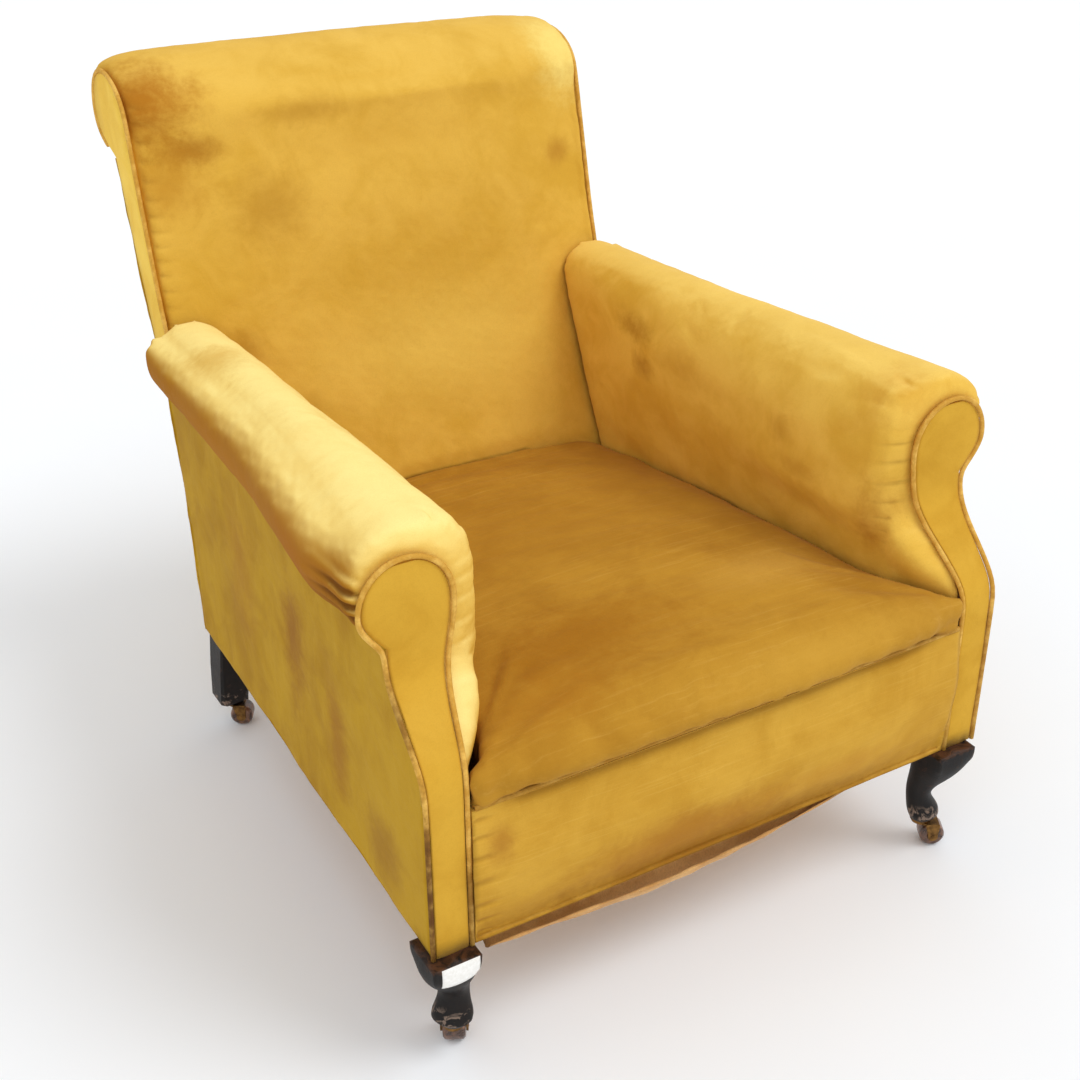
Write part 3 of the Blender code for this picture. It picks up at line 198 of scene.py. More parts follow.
# %% [markdown]
# ## Velvet
# One recipe: soft mottling at three sizes, painted highlight and painted shade that follow the way
# the surface faces, ragged stains and patches of painted shade at given places, and painted shade
# in the creases. The pile is a fine bump with a little sheen.

# %% Velvet
UPWARDS = (0.0, 0.0, 1.0)
GOLD = rgb(232, 188, 78)
DEEP = rgb(204, 154, 46)
# Default colour for the painted highlight on upward faces and for the pale of worn streaks.
PALE = rgb(250, 216, 118)
# Painted shade colour for the right roll's underside.
UNDERSIDE_SHADE = rgb(160, 98, 26)
UMBER = rgb(122, 80, 34)
# Painted shade colour for creases and where pads meet.
CREASE_SHADE = rgb(112, 66, 14)


def velvet(name, base=GOLD, dark=DEEP, light=PALE, top_highlight=0.5, painted_light_by_facing=(), stains_and_shade=(), streak=None,
           streaks=0.0, mottle=1.0, sheen=0.04):
    """Facing entries (direction, colour, low, high, strength) paint highlight or shade by the way a
    face turns; stain entries are (centre, radii, colour, strength), some painted shade.
    """
    material, place, join, bump = new_material(name, Roughness=0.82, Sheen_Weight=sheen,
                                               Sheen_Roughness=0.4, Specular_IOR_Level=0.06)
    big = place.noise(4.5, 4.0, 0.55, distortion=0.4)
    middle = place.noise(17.0, 5.0, 0.62, distortion=0.6)
    small = place.noise(110.0, 4.0, 0.65)
    pile = place.noise(900.0, 2.0, 0.6)
    normal = place.node("ShaderNodeNewGeometry", out=1)
    colour = (big * 0.6 + middle * 0.4).ramp(0.36, 0.62).mix(dark, base)
    colour = (middle.ramp(0.58, 0.76) * 0.35 * mottle).mix(colour, dark)
    colour = (small.ramp(0.52, 0.78) * 0.16).mix(colour, dark)
    if streaks:
        lines = place.noise(1.0, 4.0, 0.7, stretch=streak)
        colour = (lines.ramp(0.52, 0.75) * streaks).mix(colour, light)
        colour = (lines.ramp(0.50, 0.28) * streaks).mix(colour, dark)
    ragged = (middle - 0.5) * 0.32 + (small - 0.5) * 0.12
    # Painted highlight in the light colour on upward faces, then each facing entry's painted
    # highlight or painted shade.
    for direction, tint, low, high, strength in ((UPWARDS, light, 0.55, 1.0, top_highlight), *painted_light_by_facing):
        towards = normal.node("ShaderNodeVectorMath", {"operation": "DOT_PRODUCT"}, 1, i0=normal,
                              i1=Vector(direction).normalized())
        colour = ((towards + ragged).ramp(low, high) * strength).mix(colour, tint)
    # Ragged patches at given places: stains, and in some lists painted shade.
    for centre, radii, tint, strength in stains_and_shade:
        where = place.spot((centre[0], centre[1] + SHIFT_Y, centre[2]), radii,
                           middle * 0.6 + small * 0.4)
        colour = (where * strength).mix(colour, tint)
    # Painted shade in creases and where pads meet, read from the hollow attribute.
    hollow = place.node("ShaderNodeAttribute", {"attribute_name": "hollow"}, out=2)
    colour = (hollow.ramp(0.05, 0.9) * 0.9).mix(colour, CREASE_SHADE)
    colour = (pile.ramp(0.40, 0.80) * 0.10).mix(colour, UMBER)
    join(Base_Color=colour)
    bump(pile * 0.5 + small * 1.2 + middle * 1.6, 0.0009, 0.45)
    return material


print("velvet recipe ready")

# %% [markdown]
# ## From soft solids to cloth
# A solid is copied and smoothed. A pad is then remeshed evenly, swelled by cloth pressure while
# its hidden sides are held, and folded by vertex displacement.


# %% From soft solids to cloth
def piece(name, mesh, material, nodes, body="chair"):
    """A finished piece that stands for CAD nodes and rides on a body."""
    made = bpy.data.objects.new(name, mesh)
    bpy.context.scene.collection.objects.link(made)
    mesh.materials.clear()
    mesh.materials.append(material)
    mesh.shade_smooth()
    if nodes:
        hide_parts(*nodes)
    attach(made, body)
    return made


def baked(source, setup):
    """Mesh of a copy of an object after the modifiers that setup adds."""
    copy = bpy.data.objects.new("work", source.data.copy())
    bpy.context.scene.collection.objects.link(copy)
    setup(copy)
    bpy.context.view_layer.update()
    graph = bpy.context.evaluated_depsgraph_get()
    mesh = bpy.data.meshes.new_from_object(copy.evaluated_get(graph))
    bpy.data.objects.remove(copy)
    return mesh


# Points of a solid closer than this are one point.
WELD = 0.00002
# A crease this deep gets painted shade in full.
FULL_CREASE = 0.004
SWELL_FRAMES = 14
PRESSURE = 4.0
STIFFNESS = 12.0
BENDING = 1.2


def smoothed(node, levels, crease_angle=None):
    """The solid's mesh, subdivided, creased where it turns more than crease_angle."""
    def setup(copy):
        mesh = bmesh.new()
        mesh.from_mesh(copy.data)
        bmesh.ops.remove_doubles(mesh, verts=mesh.verts, dist=WELD)
        bmesh.ops.join_triangles(mesh, faces=mesh.faces, angle_face_threshold=0.6,
                                 angle_shape_threshold=1.2)
        if crease_angle is not None:
            layer = mesh.edges.layers.float.new("crease_edge")
            for edge in mesh.edges:
                sharp = len(edge.link_faces) == 2 and edge.calc_face_angle(0.0) > crease_angle
                edge[layer] = 1.0 if sharp else 0.0
        mesh.to_mesh(copy.data)
        mesh.free()
        divide = copy.modifiers.new("smooth", "SUBSURF")
        divide.levels = divide.render_levels = levels
    return baked(NODES[node], setup)


def points_of(mesh):
    flat = np.empty(len(mesh.vertices) * 3)
    mesh.vertices.foreach_get("co", flat)
    return flat.reshape(-1, 3)


def normals_of(mesh):
    flat = np.empty(len(mesh.vertices) * 3)
    mesh.vertex_normals.foreach_get("vector", flat)
    return flat.reshape(-1, 3)


def move(mesh, shape):
    """Push vertices along their normals by shape(x, y, z, normals), y as the chair was drawn.

    A shape may also return the depth of its creases, which the velvet darkens as painted shade.
    """
    place, normal = points_of(mesh), normals_of(mesh)
    amount = shape(place[:, 0], place[:, 1] - SHIFT_Y, place[:, 2], normal)
    if isinstance(amount, tuple):
        amount, depth = amount
        # The crease depth is kept for painted shade in the velvet.
        hollow = mesh.attributes.new("hollow", "FLOAT", "POINT")
        hollow.data.foreach_set("value", np.clip(depth / FULL_CREASE, 0.0, 1.0))
    mesh.vertices.foreach_set("co", (place + normal * amount[:, None]).ravel())
    mesh.update()


def waves(place, scale, seed, octaves=3):
    """Smooth repeatable undulation from -1 to 1 made of crossed sines."""
    draw = np.random.default_rng(seed)
    total = np.zeros(len(place))
    weight = 0.0
    for octave in range(octaves):
        for _ in range(5):
            direction = draw.normal(size=3)
            direction /= np.linalg.norm(direction)
            frequency = TAU / scale * 1.9 ** octave * draw.uniform(0.7, 1.3)
            phase = draw.uniform(0.0, 6.28)
            total += 0.55 ** octave * np.sin(place @ direction * frequency + phase)
            weight += 0.55 ** octave
    return total / weight * 2.2


def remeshed(mesh, voxel, settle=8):
    """Even mesh over the same form."""
    holder = bpy.data.objects.new("holder", mesh)

    def setup(copy):
        even = copy.modifiers.new("even", "REMESH")
        even.mode = "VOXEL"
        even.voxel_size = voxel
        relax = copy.modifiers.new("relax", "SMOOTH")
        relax.factor = 0.5
        relax.iterations = settle
    result = baked(holder, setup)
    bpy.data.objects.remove(holder)
    return result


def finer(mesh):
    """The same mesh with one more level of smooth subdivision."""
    holder = bpy.data.objects.new("holder", mesh)

    def setup(copy):
        divide = copy.modifiers.new("finer", "SUBSURF")
        divide.levels = divide.render_levels = 1
    result = baked(holder, setup)
    bpy.data.objects.remove(holder)
    return result


def swelled(mesh, held, cap):
    """Cloth pressure on the loose parts, no further than cap; held(x, y, z) says what is fastened.
    """
    before = points_of(mesh)
    work = bpy.data.objects.new("swell", mesh)
    bpy.context.scene.collection.objects.link(work)
    fastened = work.vertex_groups.new(name="held")
    for index in np.nonzero(held(before[:, 0], before[:, 1] - SHIFT_Y, before[:, 2]))[0]:
        fastened.add([int(index)], 1.0, "REPLACE")
    cloth = work.modifiers.new("cloth", "CLOTH")
    cloth.settings.vertex_group_mass = "held"
    cloth.settings.use_pressure = True
    cloth.settings.uniform_pressure_force = PRESSURE
    cloth.settings.effector_weights.gravity = 0.0
    cloth.settings.quality = 4
    cloth.settings.tension_stiffness = cloth.settings.compression_stiffness = STIFFNESS
    cloth.settings.bending_stiffness = BENDING
    cloth.point_cache.frame_start, cloth.point_cache.frame_end = 1, SWELL_FRAMES
    scene = bpy.context.scene
    for number in range(1, SWELL_FRAMES + 1):
        scene.frame_set(number)
    graph = bpy.context.evaluated_depsgraph_get()
    result = bpy.data.meshes.new_from_object(work.evaluated_get(graph))
    scene.frame_set(1)
    bpy.data.objects.remove(work)
    step = points_of(result) - before
    length = np.linalg.norm(step, axis=1, keepdims=True)
    step *= np.minimum(1.0, cap / np.maximum(length, 1e-9))
    result.vertices.foreach_set("co", (before + step).ravel())
    result.update()
    return finer(result)


def bump_at(value, centre, width):
    """Soft hump of height 1 about a value."""
    return np.exp(-((value - centre) / width) ** 2)


def step_up(value, low, high):
    """Smooth step from 0 at low to 1 at high."""
    share = np.clip((value - low) / (high - low), 0.0, 1.0)
    return share * share * (3.0 - 2.0 * share)


print("cloth helpers ready")

# %% [markdown]
# ## The stuffed back
# Long soft waves, small tucks beside the left piping and a faint hollow under the roll.

# %% The stuffed back
BACK_STAINS = (
    ((-0.285, 0.450, 0.775), (0.090, 0.09, 0.060), rgb(176, 112, 28), 0.95),
    ((-0.235, 0.440, 0.715), (0.050, 0.06, 0.026), rgb(168, 110, 28), 0.80),
    ((-0.270, 0.425, 0.680), (0.060, 0.06, 0.060), rgb(190, 132, 38), 0.65),
    ((-0.150, 0.400, 0.640), (0.070, 0.06, 0.060), rgb(188, 138, 46), 0.60),
    ((-0.090, 0.440, 0.745), (0.070, 0.06, 0.022), rgb(192, 142, 46), 0.60),
    ((0.030, 0.430, 0.700), (0.190, 0.05, 0.040), rgb(210, 160, 60), 0.35),
    ((0.257, 0.417, 0.647), (0.028, 0.04, 0.022), rgb(180, 124, 42), 0.60),
    ((-0.215, 0.372, 0.480), (0.035, 0.05, 0.035), rgb(190, 140, 46), 0.60),
    ((-0.160, 0.345, 0.400), (0.040, 0.05, 0.030), rgb(190, 140, 46), 0.50),
    ((0.060, 0.360, 0.430), (0.220, 0.06, 0.120), rgb(236, 196, 90), 0.65),
    ((0.285, 0.470, 0.760), (0.060, 0.10, 0.080), rgb(252, 226, 130), 0.80),
)
# A faint painted highlight on upward faces.
BACK_VELVET = velvet("back_velvet", stains_and_shade=BACK_STAINS, base=rgb(230, 184, 78),
                     dark=rgb(214, 166, 58), top_highlight=0.15, mottle=0.6)


TUCK_PITCH = 0.019
BACK_VOXEL, ARM_VOXEL, SEAT_VOXEL = 0.0072, 0.0060, 0.0066


def back_shape(x, y, z, normal):
    """Waves, tucks down the left edge, a hollow under the roll and fullness below it."""
    place = np.stack((x, y, z), axis=1)
    front = step_up(-normal[:, 1], 0.1, 0.7)
    amount = 0.0018 * waves(place, 0.18, 3) * (0.35 + 0.65 * front)
    amount += 0.0004 * waves(place, 0.030, 4)
    edge = step_up(-x, 0.262, 0.296) * front
    beat = np.sin(z * TAU / TUCK_PITCH + 1.5 * np.sin(z * 31.0) + 40.0 * (x + 0.29))
    tucks = 0.0016 * edge * np.maximum(beat, 0.0) * step_up(z, 0.50, 0.56)
    amount -= tucks + 0.0020 * bump_at(z, 0.705, 0.030) * front
    amount += 0.0040 * bump_at(z, 0.600, 0.070) * bump_at(x, 0.0, 0.17) * front
    amount += 0.0050 * step_up(normal[:, 0], 0.1, 0.7) * step_up(z, 0.47, 0.52)
    # The tucks' depth goes back for painted shade.
    return amount, tucks * 0.8


mesh = remeshed(smoothed("back_pad", 0), BACK_VOXEL)
mesh = swelled(mesh, lambda x, y, z: (y > 0.44) & (z < 0.70) | (z < 0.29) | (np.abs(x) > 0.292),
               cap=0.006)
move(mesh, back_shape)
back_piece = piece("stuffed_back", mesh, BACK_VELVET, ["back_pad"])
print("back", len(mesh.polygons), "faces")

# %% [markdown]
# ## The stuffed arms
# The cover is gathered round the scroll: deep folds spread from under its outer side, short
# tucks stand beside the inner seam, and the roll itself lies in slow waves.

# %% The stuffed arms
LEFT_STAINS_AND_SHADE = (
    # The first two entries are painted shade under the roll, darkest towards the scroll.
    ((-0.392, -0.010, 0.442), (0.040, 0.36, 0.042), rgb(132, 80, 16), 0.85),
    ((-0.392, -0.235, 0.462), (0.055, 0.095, 0.050), rgb(104, 60, 14), 0.85),
    ((-0.365, -0.150, 0.500), (0.05, 0.10, 0.040), rgb(168, 104, 26), 0.70),
    ((-0.345, 0.080, 0.480), (0.04, 0.26, 0.035), rgb(176, 116, 30), 0.65),
    ((-0.300, 0.230, 0.540), (0.05, 0.06, 0.030), rgb(216, 168, 70), 0.60),
    ((-0.245, -0.20, 0.42), (0.03, 0.09, 0.07), rgb(206, 154, 66), 0.5),
)
RIGHT_STAINS = (
    ((0.245, 0.185, 0.482), (0.05, 0.050, 0.022), rgb(176, 124, 36), 0.75),
    ((0.245, 0.160, 0.440), (0.05, 0.034, 0.022), rgb(172, 118, 34), 0.80),
    ((0.245, 0.070, 0.465), (0.05, 0.090, 0.030), rgb(206, 154, 56), 0.50),
    ((0.245, -0.117, 0.467), (0.05, 0.024, 0.026), rgb(192, 140, 46), 0.60),
    ((0.245, -0.150, 0.430), (0.05, 0.050, 0.018), rgb(196, 142, 48), 0.55),
    ((0.260, -0.255, 0.420), (0.06, 0.030, 0.060), rgb(178, 118, 36), 0.65),
    ((0.290, -0.240, 0.535), (0.06, 0.050, 0.040), rgb(214, 152, 58), 0.60),
)
# Painted highlight on the left roll's top, painted shade on its outer underside.
LEFT_PAINTED_LIGHT = (((0.12, -0.30, 1.0), rgb(255, 228, 140), 0.15, 1.00, 0.90),
             ((0.12, -0.20, 1.0), rgb(255, 238, 156), 0.70, 1.10, 0.70),
             ((-0.85, 0.0, -0.30), rgb(158, 98, 20), 0.15, 0.95, 0.90))
# Painted shade on the right roll's outer underside.
RIGHT_PAINTED_SHADE = (((0.85, 0.0, -0.30), UNDERSIDE_SHADE, 0.35, 0.95, 0.70),)


FACING_Y = -0.278
SCROLL_OUT, SCROLL_Z = 0.315, 0.500
BELLY, INNER_SWELL = 0.0130, 0.0090
GATHER_DEPTH, GATHER_REACH = 0.0070, 0.060
TUCK_SHADE = (0.5, 1.5)


def arm_shape(side):
    """Shape of the left arm (0) or right arm (1); behind is the distance back from its facing."""
    def shape(x, y, z, normal):
        outward = np.abs(x)
        place = np.stack((outward, y, z), axis=1)
        away = normal[:, 0] * np.sign(x)
        amount = 0.0010 * waves(place, 0.16, 7 + side) + 0.0003 * waves(place, 0.030, 9 + side)
        behind = np.clip(y - FACING_Y, 0.0, 1.0)
        roll = step_up(outward, 0.280, 0.300) * step_up(z, 0.40, 0.44)
        roll = roll * (1.0 - step_up(normal[:, 1], 0.25, 0.85))
        belly = step_up(away * 0.8 - normal[:, 2] * 0.5, 0.0, 0.75) * roll
        amount += BELLY * belly * step_up(behind, 0.015, 0.110)
        inside = step_up(-away, 0.2, 0.8) * step_up(z, 0.375, 0.420)
        inside = inside * (1.0 - step_up(outward, 0.275, 0.300))
        inside = inside * (1.0 - step_up(y, -0.20, 0.10))
        amount += INNER_SWELL * inside * step_up(behind, 0.004, 0.030)
        spread = np.arctan2(z - SCROLL_Z, outward - SCROLL_OUT)
        folds = 0.5 + 0.5 * np.sin(spread * 23.0 + 26.0 * behind)
        under = step_up(-spread, -0.75, -0.05) * step_up(outward, SCROLL_OUT, SCROLL_OUT + 0.010)
        reach = np.exp(-(behind / GATHER_REACH) ** 2) * step_up(behind, 0.0, 0.008)
        gathers = GATHER_DEPTH * folds ** 1.3 * under * reach
        beat = np.sin(z * TAU / TUCK_PITCH + 1.9 * np.sin(z * 47.0) + 30.0 * behind)
        seam = (outward < 0.30) * step_up(z, 0.36, 0.41) * (1.0 - step_up(z, 0.50, 0.54))
        tucks = 0.0014 * np.maximum(beat, 0.0) ** 2 * seam
        tucks = tucks * np.exp(-behind / 0.022) * step_up(behind, 0.0, 0.006)
        slant = np.sin((y + 0.7 * z) * TAU / 0.052 + 2.0 * np.sin(z * 17.0))
        pleats = 0.0008 * np.maximum(slant, 0.0) * seam * np.exp(-behind / 0.12)
        # Gathers and tucks go back as depth for painted shade.
        return amount - gathers - tucks - pleats, gathers * 1.1 + tucks * TUCK_SHADE[side]
    return shape


# The right arm has a painted highlight on its top; the left arm's painted highlight and shade are
# listed above.
ARM_VELVET = {
    "left": velvet("left_arm_velvet", base=rgb(236, 192, 88), light=rgb(255, 230, 140),
                   stains_and_shade=LEFT_STAINS_AND_SHADE, painted_light_by_facing=LEFT_PAINTED_LIGHT, top_highlight=0.0, mottle=0.6, sheen=0.0),
    "right": velvet("right_arm_velvet", base=rgb(240, 196, 88), dark=rgb(222, 174, 64),
                    stains_and_shade=RIGHT_STAINS, painted_light_by_facing=RIGHT_PAINTED_SHADE, top_highlight=0.5, mottle=0.7),
}
for number, side in enumerate(("left", "right")):
    mesh = remeshed(smoothed("arm_pad_" + side, 0), ARM_VOXEL)
    mesh = swelled(mesh, lambda x, y, z: (y < -0.262) & (z > 0.34) | (z < 0.30) | (y > 0.30)
                   | (np.abs(x) > 0.27) & (z < 0.47), cap=0.005)
    move(mesh, arm_shape(number))
    arm = piece("stuffed_arm_" + side, mesh, ARM_VELVET[side], ["arm_pad_" + side])
    print(side, "arm", len(mesh.polygons), "faces")

# %% [markdown]
# ## The seat
# Browner than the rest, darkest towards its front left, with a light lip and fine worn lines
# that run from side to side.

# %% The seat
SEAT_STAINS = (
    ((-0.11, -0.24, 0.372), (0.19, 0.10, 0.05), rgb(164, 108, 24), 0.80),
    ((-0.02, 0.02, 0.345), (0.23, 0.17, 0.06), rgb(176, 124, 36), 0.5),
    ((-0.19, -0.31, 0.378), (0.09, 0.06, 0.04), rgb(178, 120, 32), 0.6),
    ((0.15, -0.22, 0.374), (0.12, 0.06, 0.04), rgb(212, 164, 72), 0.5),
    ((0.16, 0.10, 0.335), (0.10, 0.08, 0.04), rgb(176, 124, 38), 0.5),
    ((0.10, -0.36, 0.345), (0.22, 0.030, 0.04), rgb(206, 158, 60), 0.60),
)
SEAT_VELVET = velvet("seat_velvet", base=rgb(190, 140, 46), dark=rgb(172, 122, 36),
                     light=rgb(228, 182, 92), stains_and_shade=SEAT_STAINS, top_highlight=0.0,
                     streak=(9.0, 260.0, 90.0), streaks=0.20)


LIP_BULGE, LIP_TUCK, LIP_END, EAR = 0.0055, 0.0052, 0.0065, 0.0050


def seat_shape(x, y, z, normal):
    """A rolled lip tucked in above the seam, let down at its ends, and creases where it is sat on."""
    place = np.stack((x, y, z), axis=1)
    amount = 0.0018 * waves(place, 0.17, 21) + 0.0004 * waves(place, 0.032, 22)
    upward = step_up(normal[:, 2], 0.2, 0.8)
    front = step_up(-normal[:, 1], 0.1, 0.6) * step_up(-y, 0.33, 0.35)
    creases = np.sin(y * TAU / 0.047 + 1.8 * np.sin(x * 9.0) + 4.0 * x)
    amount -= 0.0008 * np.maximum(creases, 0.0) * upward * bump_at(x, -0.02, 0.20)
    amount += LIP_BULGE * bump_at(z, 0.338, 0.014) * front
    middle = 1.0 - step_up(np.abs(x), 0.235, 0.285)
    tuck = LIP_TUCK * step_up(-z, -0.326, -0.3145) * front * (0.15 + 0.85 * middle)
    ripple = np.sin(x * TAU / 0.037 + 2.2 * np.sin(x * 23.0))
    amount += 0.0008 * ripple * front
    under = step_up(-normal[:, 2], 0.0, 0.5) * step_up(-y, 0.310, 0.340)
    amount += LIP_END * under * step_up(np.abs(x), 0.235, 0.280)
    ear = step_up(np.abs(x), 0.270, 0.292) * step_up(-y, 0.325, 0.345)
    amount += EAR * ear * bump_at(z, 0.332, 0.018)
    # The tuck's depth goes back for painted shade.
    return amount - tuck, tuck * 0.7


mesh = remeshed(smoothed("seat_pad", 0), SEAT_VOXEL)
mesh = swelled(mesh, lambda x, y, z: (z < 0.30) | (np.abs(x) > 0.262) | (y > 0.25), cap=0.004)
move(mesh, seat_shape)
seat = piece("stuffed_seat", mesh, SEAT_VELVET, ["seat_pad"])
print("seat", len(mesh.polygons), "faces")

# %% [markdown]
# ## Where cushions meet
# Dirt and shade gather in the joints, so each pad is darkened where another lies against it.

# %% Where cushions meet
JOINT, JOINT_SHADE = 0.0055, 0.75


def tree_of(mesh):
    """Search tree over a mesh's faces."""
    return BVHTree.FromPolygons([vertex.co for vertex in mesh.vertices],
                                [tuple(face.vertices) for face in mesh.polygons])


pads = [back_piece, seat, *(bpy.data.objects["stuffed_arm_" + side] for side in ("left", "right"))]
trees = [tree_of(pad.data) for pad in pads]
for pad, own in zip(pads, trees):
    hollow = pad.data.attributes["hollow"].data
    others = [tree for tree in trees if tree is not own]
    for vertex in pad.data.vertices:
        gaps = [tree.find_nearest(vertex.co, JOINT)[3] for tree in others]
        near = min((gap for gap in gaps if gap is not None), default=JOINT)
        shade = JOINT_SHADE * (1.0 - near / JOINT)
        if shade > hollow[vertex.index].value:
            hollow[vertex.index].value = shade
print("joints of", len(pads), "pads shaded")

# %% [markdown]
# ## Covers on the frame
# The front border, the facings and the outside covers keep their solids' outlines, creased at
# their edges, and are rippled where the cloth has slackened.

# %% Covers on the frame
BORDER_STAINS_AND_SHADE = (
    # The first entry is painted shade along the turned-under bottom.
    ((0.00, -0.36, 0.148), (0.40, 0.06, 0.030), rgb(150, 100, 28), 0.90),
    ((-0.060, -0.36, 0.185), (0.15, 0.05, 0.045), rgb(170, 112, 36), 0.75),
    ((-0.272, -0.36, 0.262), (0.020, 0.05, 0.030), rgb(160, 102, 34), 0.6),
    ((0.140, -0.36, 0.190), (0.10, 0.05, 0.022), rgb(190, 134, 46), 0.5),
)
# Painted shade on the downward faces of the turned-under bottom, and a little painted highlight on
# upward faces.
BORDER_VELVET = velvet("border_velvet", base=rgb(212, 164, 62), dark=rgb(194, 144, 46),
                       stains_and_shade=BORDER_STAINS_AND_SHADE, streak=(12.0, 40.0, 420.0), streaks=0.14, top_highlight=0.2,
                       painted_light_by_facing=(((0.0, -0.4, -1.0), rgb(178, 122, 36), 0.45, 0.95, 0.8),))
SIDE_STAINS = (
    ((-0.333, -0.01, 0.310), (0.03, 0.045, 0.100), rgb(150, 98, 32), 0.8),
    ((-0.333, -0.13, 0.255), (0.03, 0.030, 0.090), rgb(158, 106, 36), 0.7),
    ((-0.333, 0.16, 0.320), (0.03, 0.060, 0.120), rgb(170, 118, 42), 0.6),
    ((-0.333, -0.24, 0.195), (0.03, 0.060, 0.060), rgb(150, 104, 38), 0.6),
)
SIDE_VELVET = velvet("side_velvet", base=rgb(192, 150, 38), dark=rgb(170, 126, 28),
                     light=rgb(212, 174, 62), stains_and_shade=SIDE_STAINS, top_highlight=0.0,
                     streak=(30.0, 30.0, 5.0), streaks=0.16)
# The facings and the back's sides carry a faint painted highlight on upward faces.
FACING_VELVET = velvet("facing_velvet", base=rgb(216, 168, 58), dark=rgb(198, 148, 44), top_highlight=0.1)
PALE_VELVET = velvet("back_side_velvet", base=rgb(250, 212, 96), dark=rgb(234, 188, 72), top_highlight=0.2)


COVER_CREASE = 0.6


def cover(name, node, material, levels, shape):
    """A solid's cover: smoothed with its edges creased, then rippled by shape."""
    mesh = smoothed(node, levels, COVER_CREASE)
    move(mesh, shape)
    made = piece(name, mesh, material, [node])
    print(name, len(mesh.polygons), "faces")
    return made


def border_shape(x, y, z, normal):
    """Full in the middle, drawn in at the seam, turned under below and puckered at the left."""
    place = np.stack((x, y, z), axis=1)
    front = step_up(-normal[:, 1], 0.2, 0.8)
    amount = 0.0012 * waves(place, 0.14, 31) + 0.0003 * waves(place, 0.028, 32)
    amount += 0.0045 * bump_at(z, 0.235, 0.045)
    turned = 0.0050 * step_up(-z, -0.190, -0.146)
    seam = 0.0030 * step_up(z, 0.292, 0.304) * (1.0 - step_up(np.abs(x), 0.235, 0.285))
    beat = np.maximum(np.sin(z * TAU / 0.024 + 1.7 * np.sin(z * 43.0)), 0.0) ** 2
    left = 0.0016 * step_up(-x, 0.262, 0.292) * beat
    # The seam and the left puckers go back as depth for painted shade.
    return (amount - turned - seam - left) * front, (seam * 0.7 + left) * front


def slack_shape(seed, size):
    """Slow ripples of a cover that has slackened by about size."""
    def shape(x, y, z, normal):
        place = np.stack((x, y, z), axis=1)
        return size * (waves(place, 0.17, seed) + 0.3 * waves(place, 0.035, seed + 1))
    return shape


cover("front_border_cover", "front_border", BORDER_VELVET, 4, border_shape)
for number, side in enumerate(("left", "right")):
    cover("facing_" + side, "arm_facing_" + side, FACING_VELVET, 3, slack_shape(41 + number, 0.0005))
    side_cover = cover("side_cover_" + side, "outside_arm_" + side, SIDE_VELVET, 4,
                       slack_shape(51 + number, 0.0012))
rear_cover = cover("rear_cover", "outside_back", SIDE_VELVET, 4, slack_shape(61, 0.0014))
for side in ("left", "right"):
    cover("back_side_" + side, "back_facing_" + side, PALE_VELVET, 2, slack_shape(71, 0.0003))

# %% [markdown]
# ## Piping
# Covered cord in the gold of the plush, speckled with wear; the left facing's is rubbed dark.


# %% Piping
def piping(name, wear):
    """Cord cover in gold twill; wear is a list of (centre, radii, colour, strength) marks."""
    material, place, join, bump = new_material(name, Roughness=0.8, Specular_IOR_Level=0.15)
    rough = place.noise(60.0, 4.0, 0.6)
    fine = place.noise(420.0, 2.0, 0.6)
    colour = rough.ramp(0.38, 0.66).mix(rgb(206, 154, 60), rgb(232, 186, 92))
    colour = (fine.ramp(0.40, 0.70) * 0.25).mix(colour, rgb(168, 116, 44))
    for centre, radii, tint, strength in wear:
        where = place.spot((centre[0], centre[1] + SHIFT_Y, centre[2]), radii, rough)
        colour = (where * strength).mix(colour, tint)
    join(Base_Color=colour)
    bump(fine + rough, 0.0006, 0.6)
    return material


WORN_DARK = rgb(92, 56, 26)
PIPING = {
    "arm_cord_left": piping("left_arm_piping", (
        ((-0.343, -0.35, 0.22), (0.02, 0.02, 0.13), WORN_DARK, 0.95),
        ((-0.343, -0.31, 0.40), (0.02, 0.05, 0.05), WORN_DARK, 0.6),
        ((-0.301, -0.35, 0.20), (0.02, 0.02, 0.06), WORN_DARK, 0.6))),
    "arm_cord_right": piping("right_arm_piping", (
        ((0.343, -0.35, 0.25), (0.02, 0.02, 0.10), rgb(140, 90, 40), 0.6),)),
    "back_cord_left": piping("back_piping", ()),
    "front_border_cord": piping("seam_piping", (
        ((0.0, -0.36, 0.31), (0.60, 0.05, 0.05), rgb(172, 122, 42), 0.8),)),
}
PIPING["back_cord_right"] = PIPING["back_cord_left"]
for node, material in PIPING.items():
    piece(node.replace("cord", "piping"), smoothed(node, 1, 1.0), material, [node])
print("piping", len(PIPING), "runs")

# %% [markdown]
# ## Lining
# The tan cloth under the seat, with its loose hem; fine weave, paler along its lower edge.

# %% Lining
lining_material, place, join, bump = new_material("tan_lining", Roughness=0.9, Sheen_Weight=0.1,
                                                  Specular_IOR_Level=0.15)
height = place.node("ShaderNodeSeparateXYZ", out=2, Vector=place)
blotch = place.noise(24.0, 5.0, 0.6)
weave = place.noise(1.0, 2.0, 0.5, stretch=(900.0, 900.0, 260.0))
colour = blotch.ramp(0.35, 0.68).mix(rgb(200, 146, 82), rgb(224, 176, 112))
colour = ((height + blotch * 0.012).ramp(0.121, 0.108) * 0.75).mix(colour, rgb(240, 200, 140))
colour = (weave.ramp(0.4, 0.7) * 0.25).mix(colour, rgb(132, 84, 42))
join(Base_Color=colour)
bump(weave + blotch * 2.0, 0.0006, 0.6)


def lining_shape(x, y, z, normal):
    """Small ripples along the loose hem in front."""
    ripple = np.sin(x * TAU / 0.061 + 1.7 * np.sin(x * 19.0))
    return 0.0007 * ripple * step_up(-y, 0.20, 0.33)


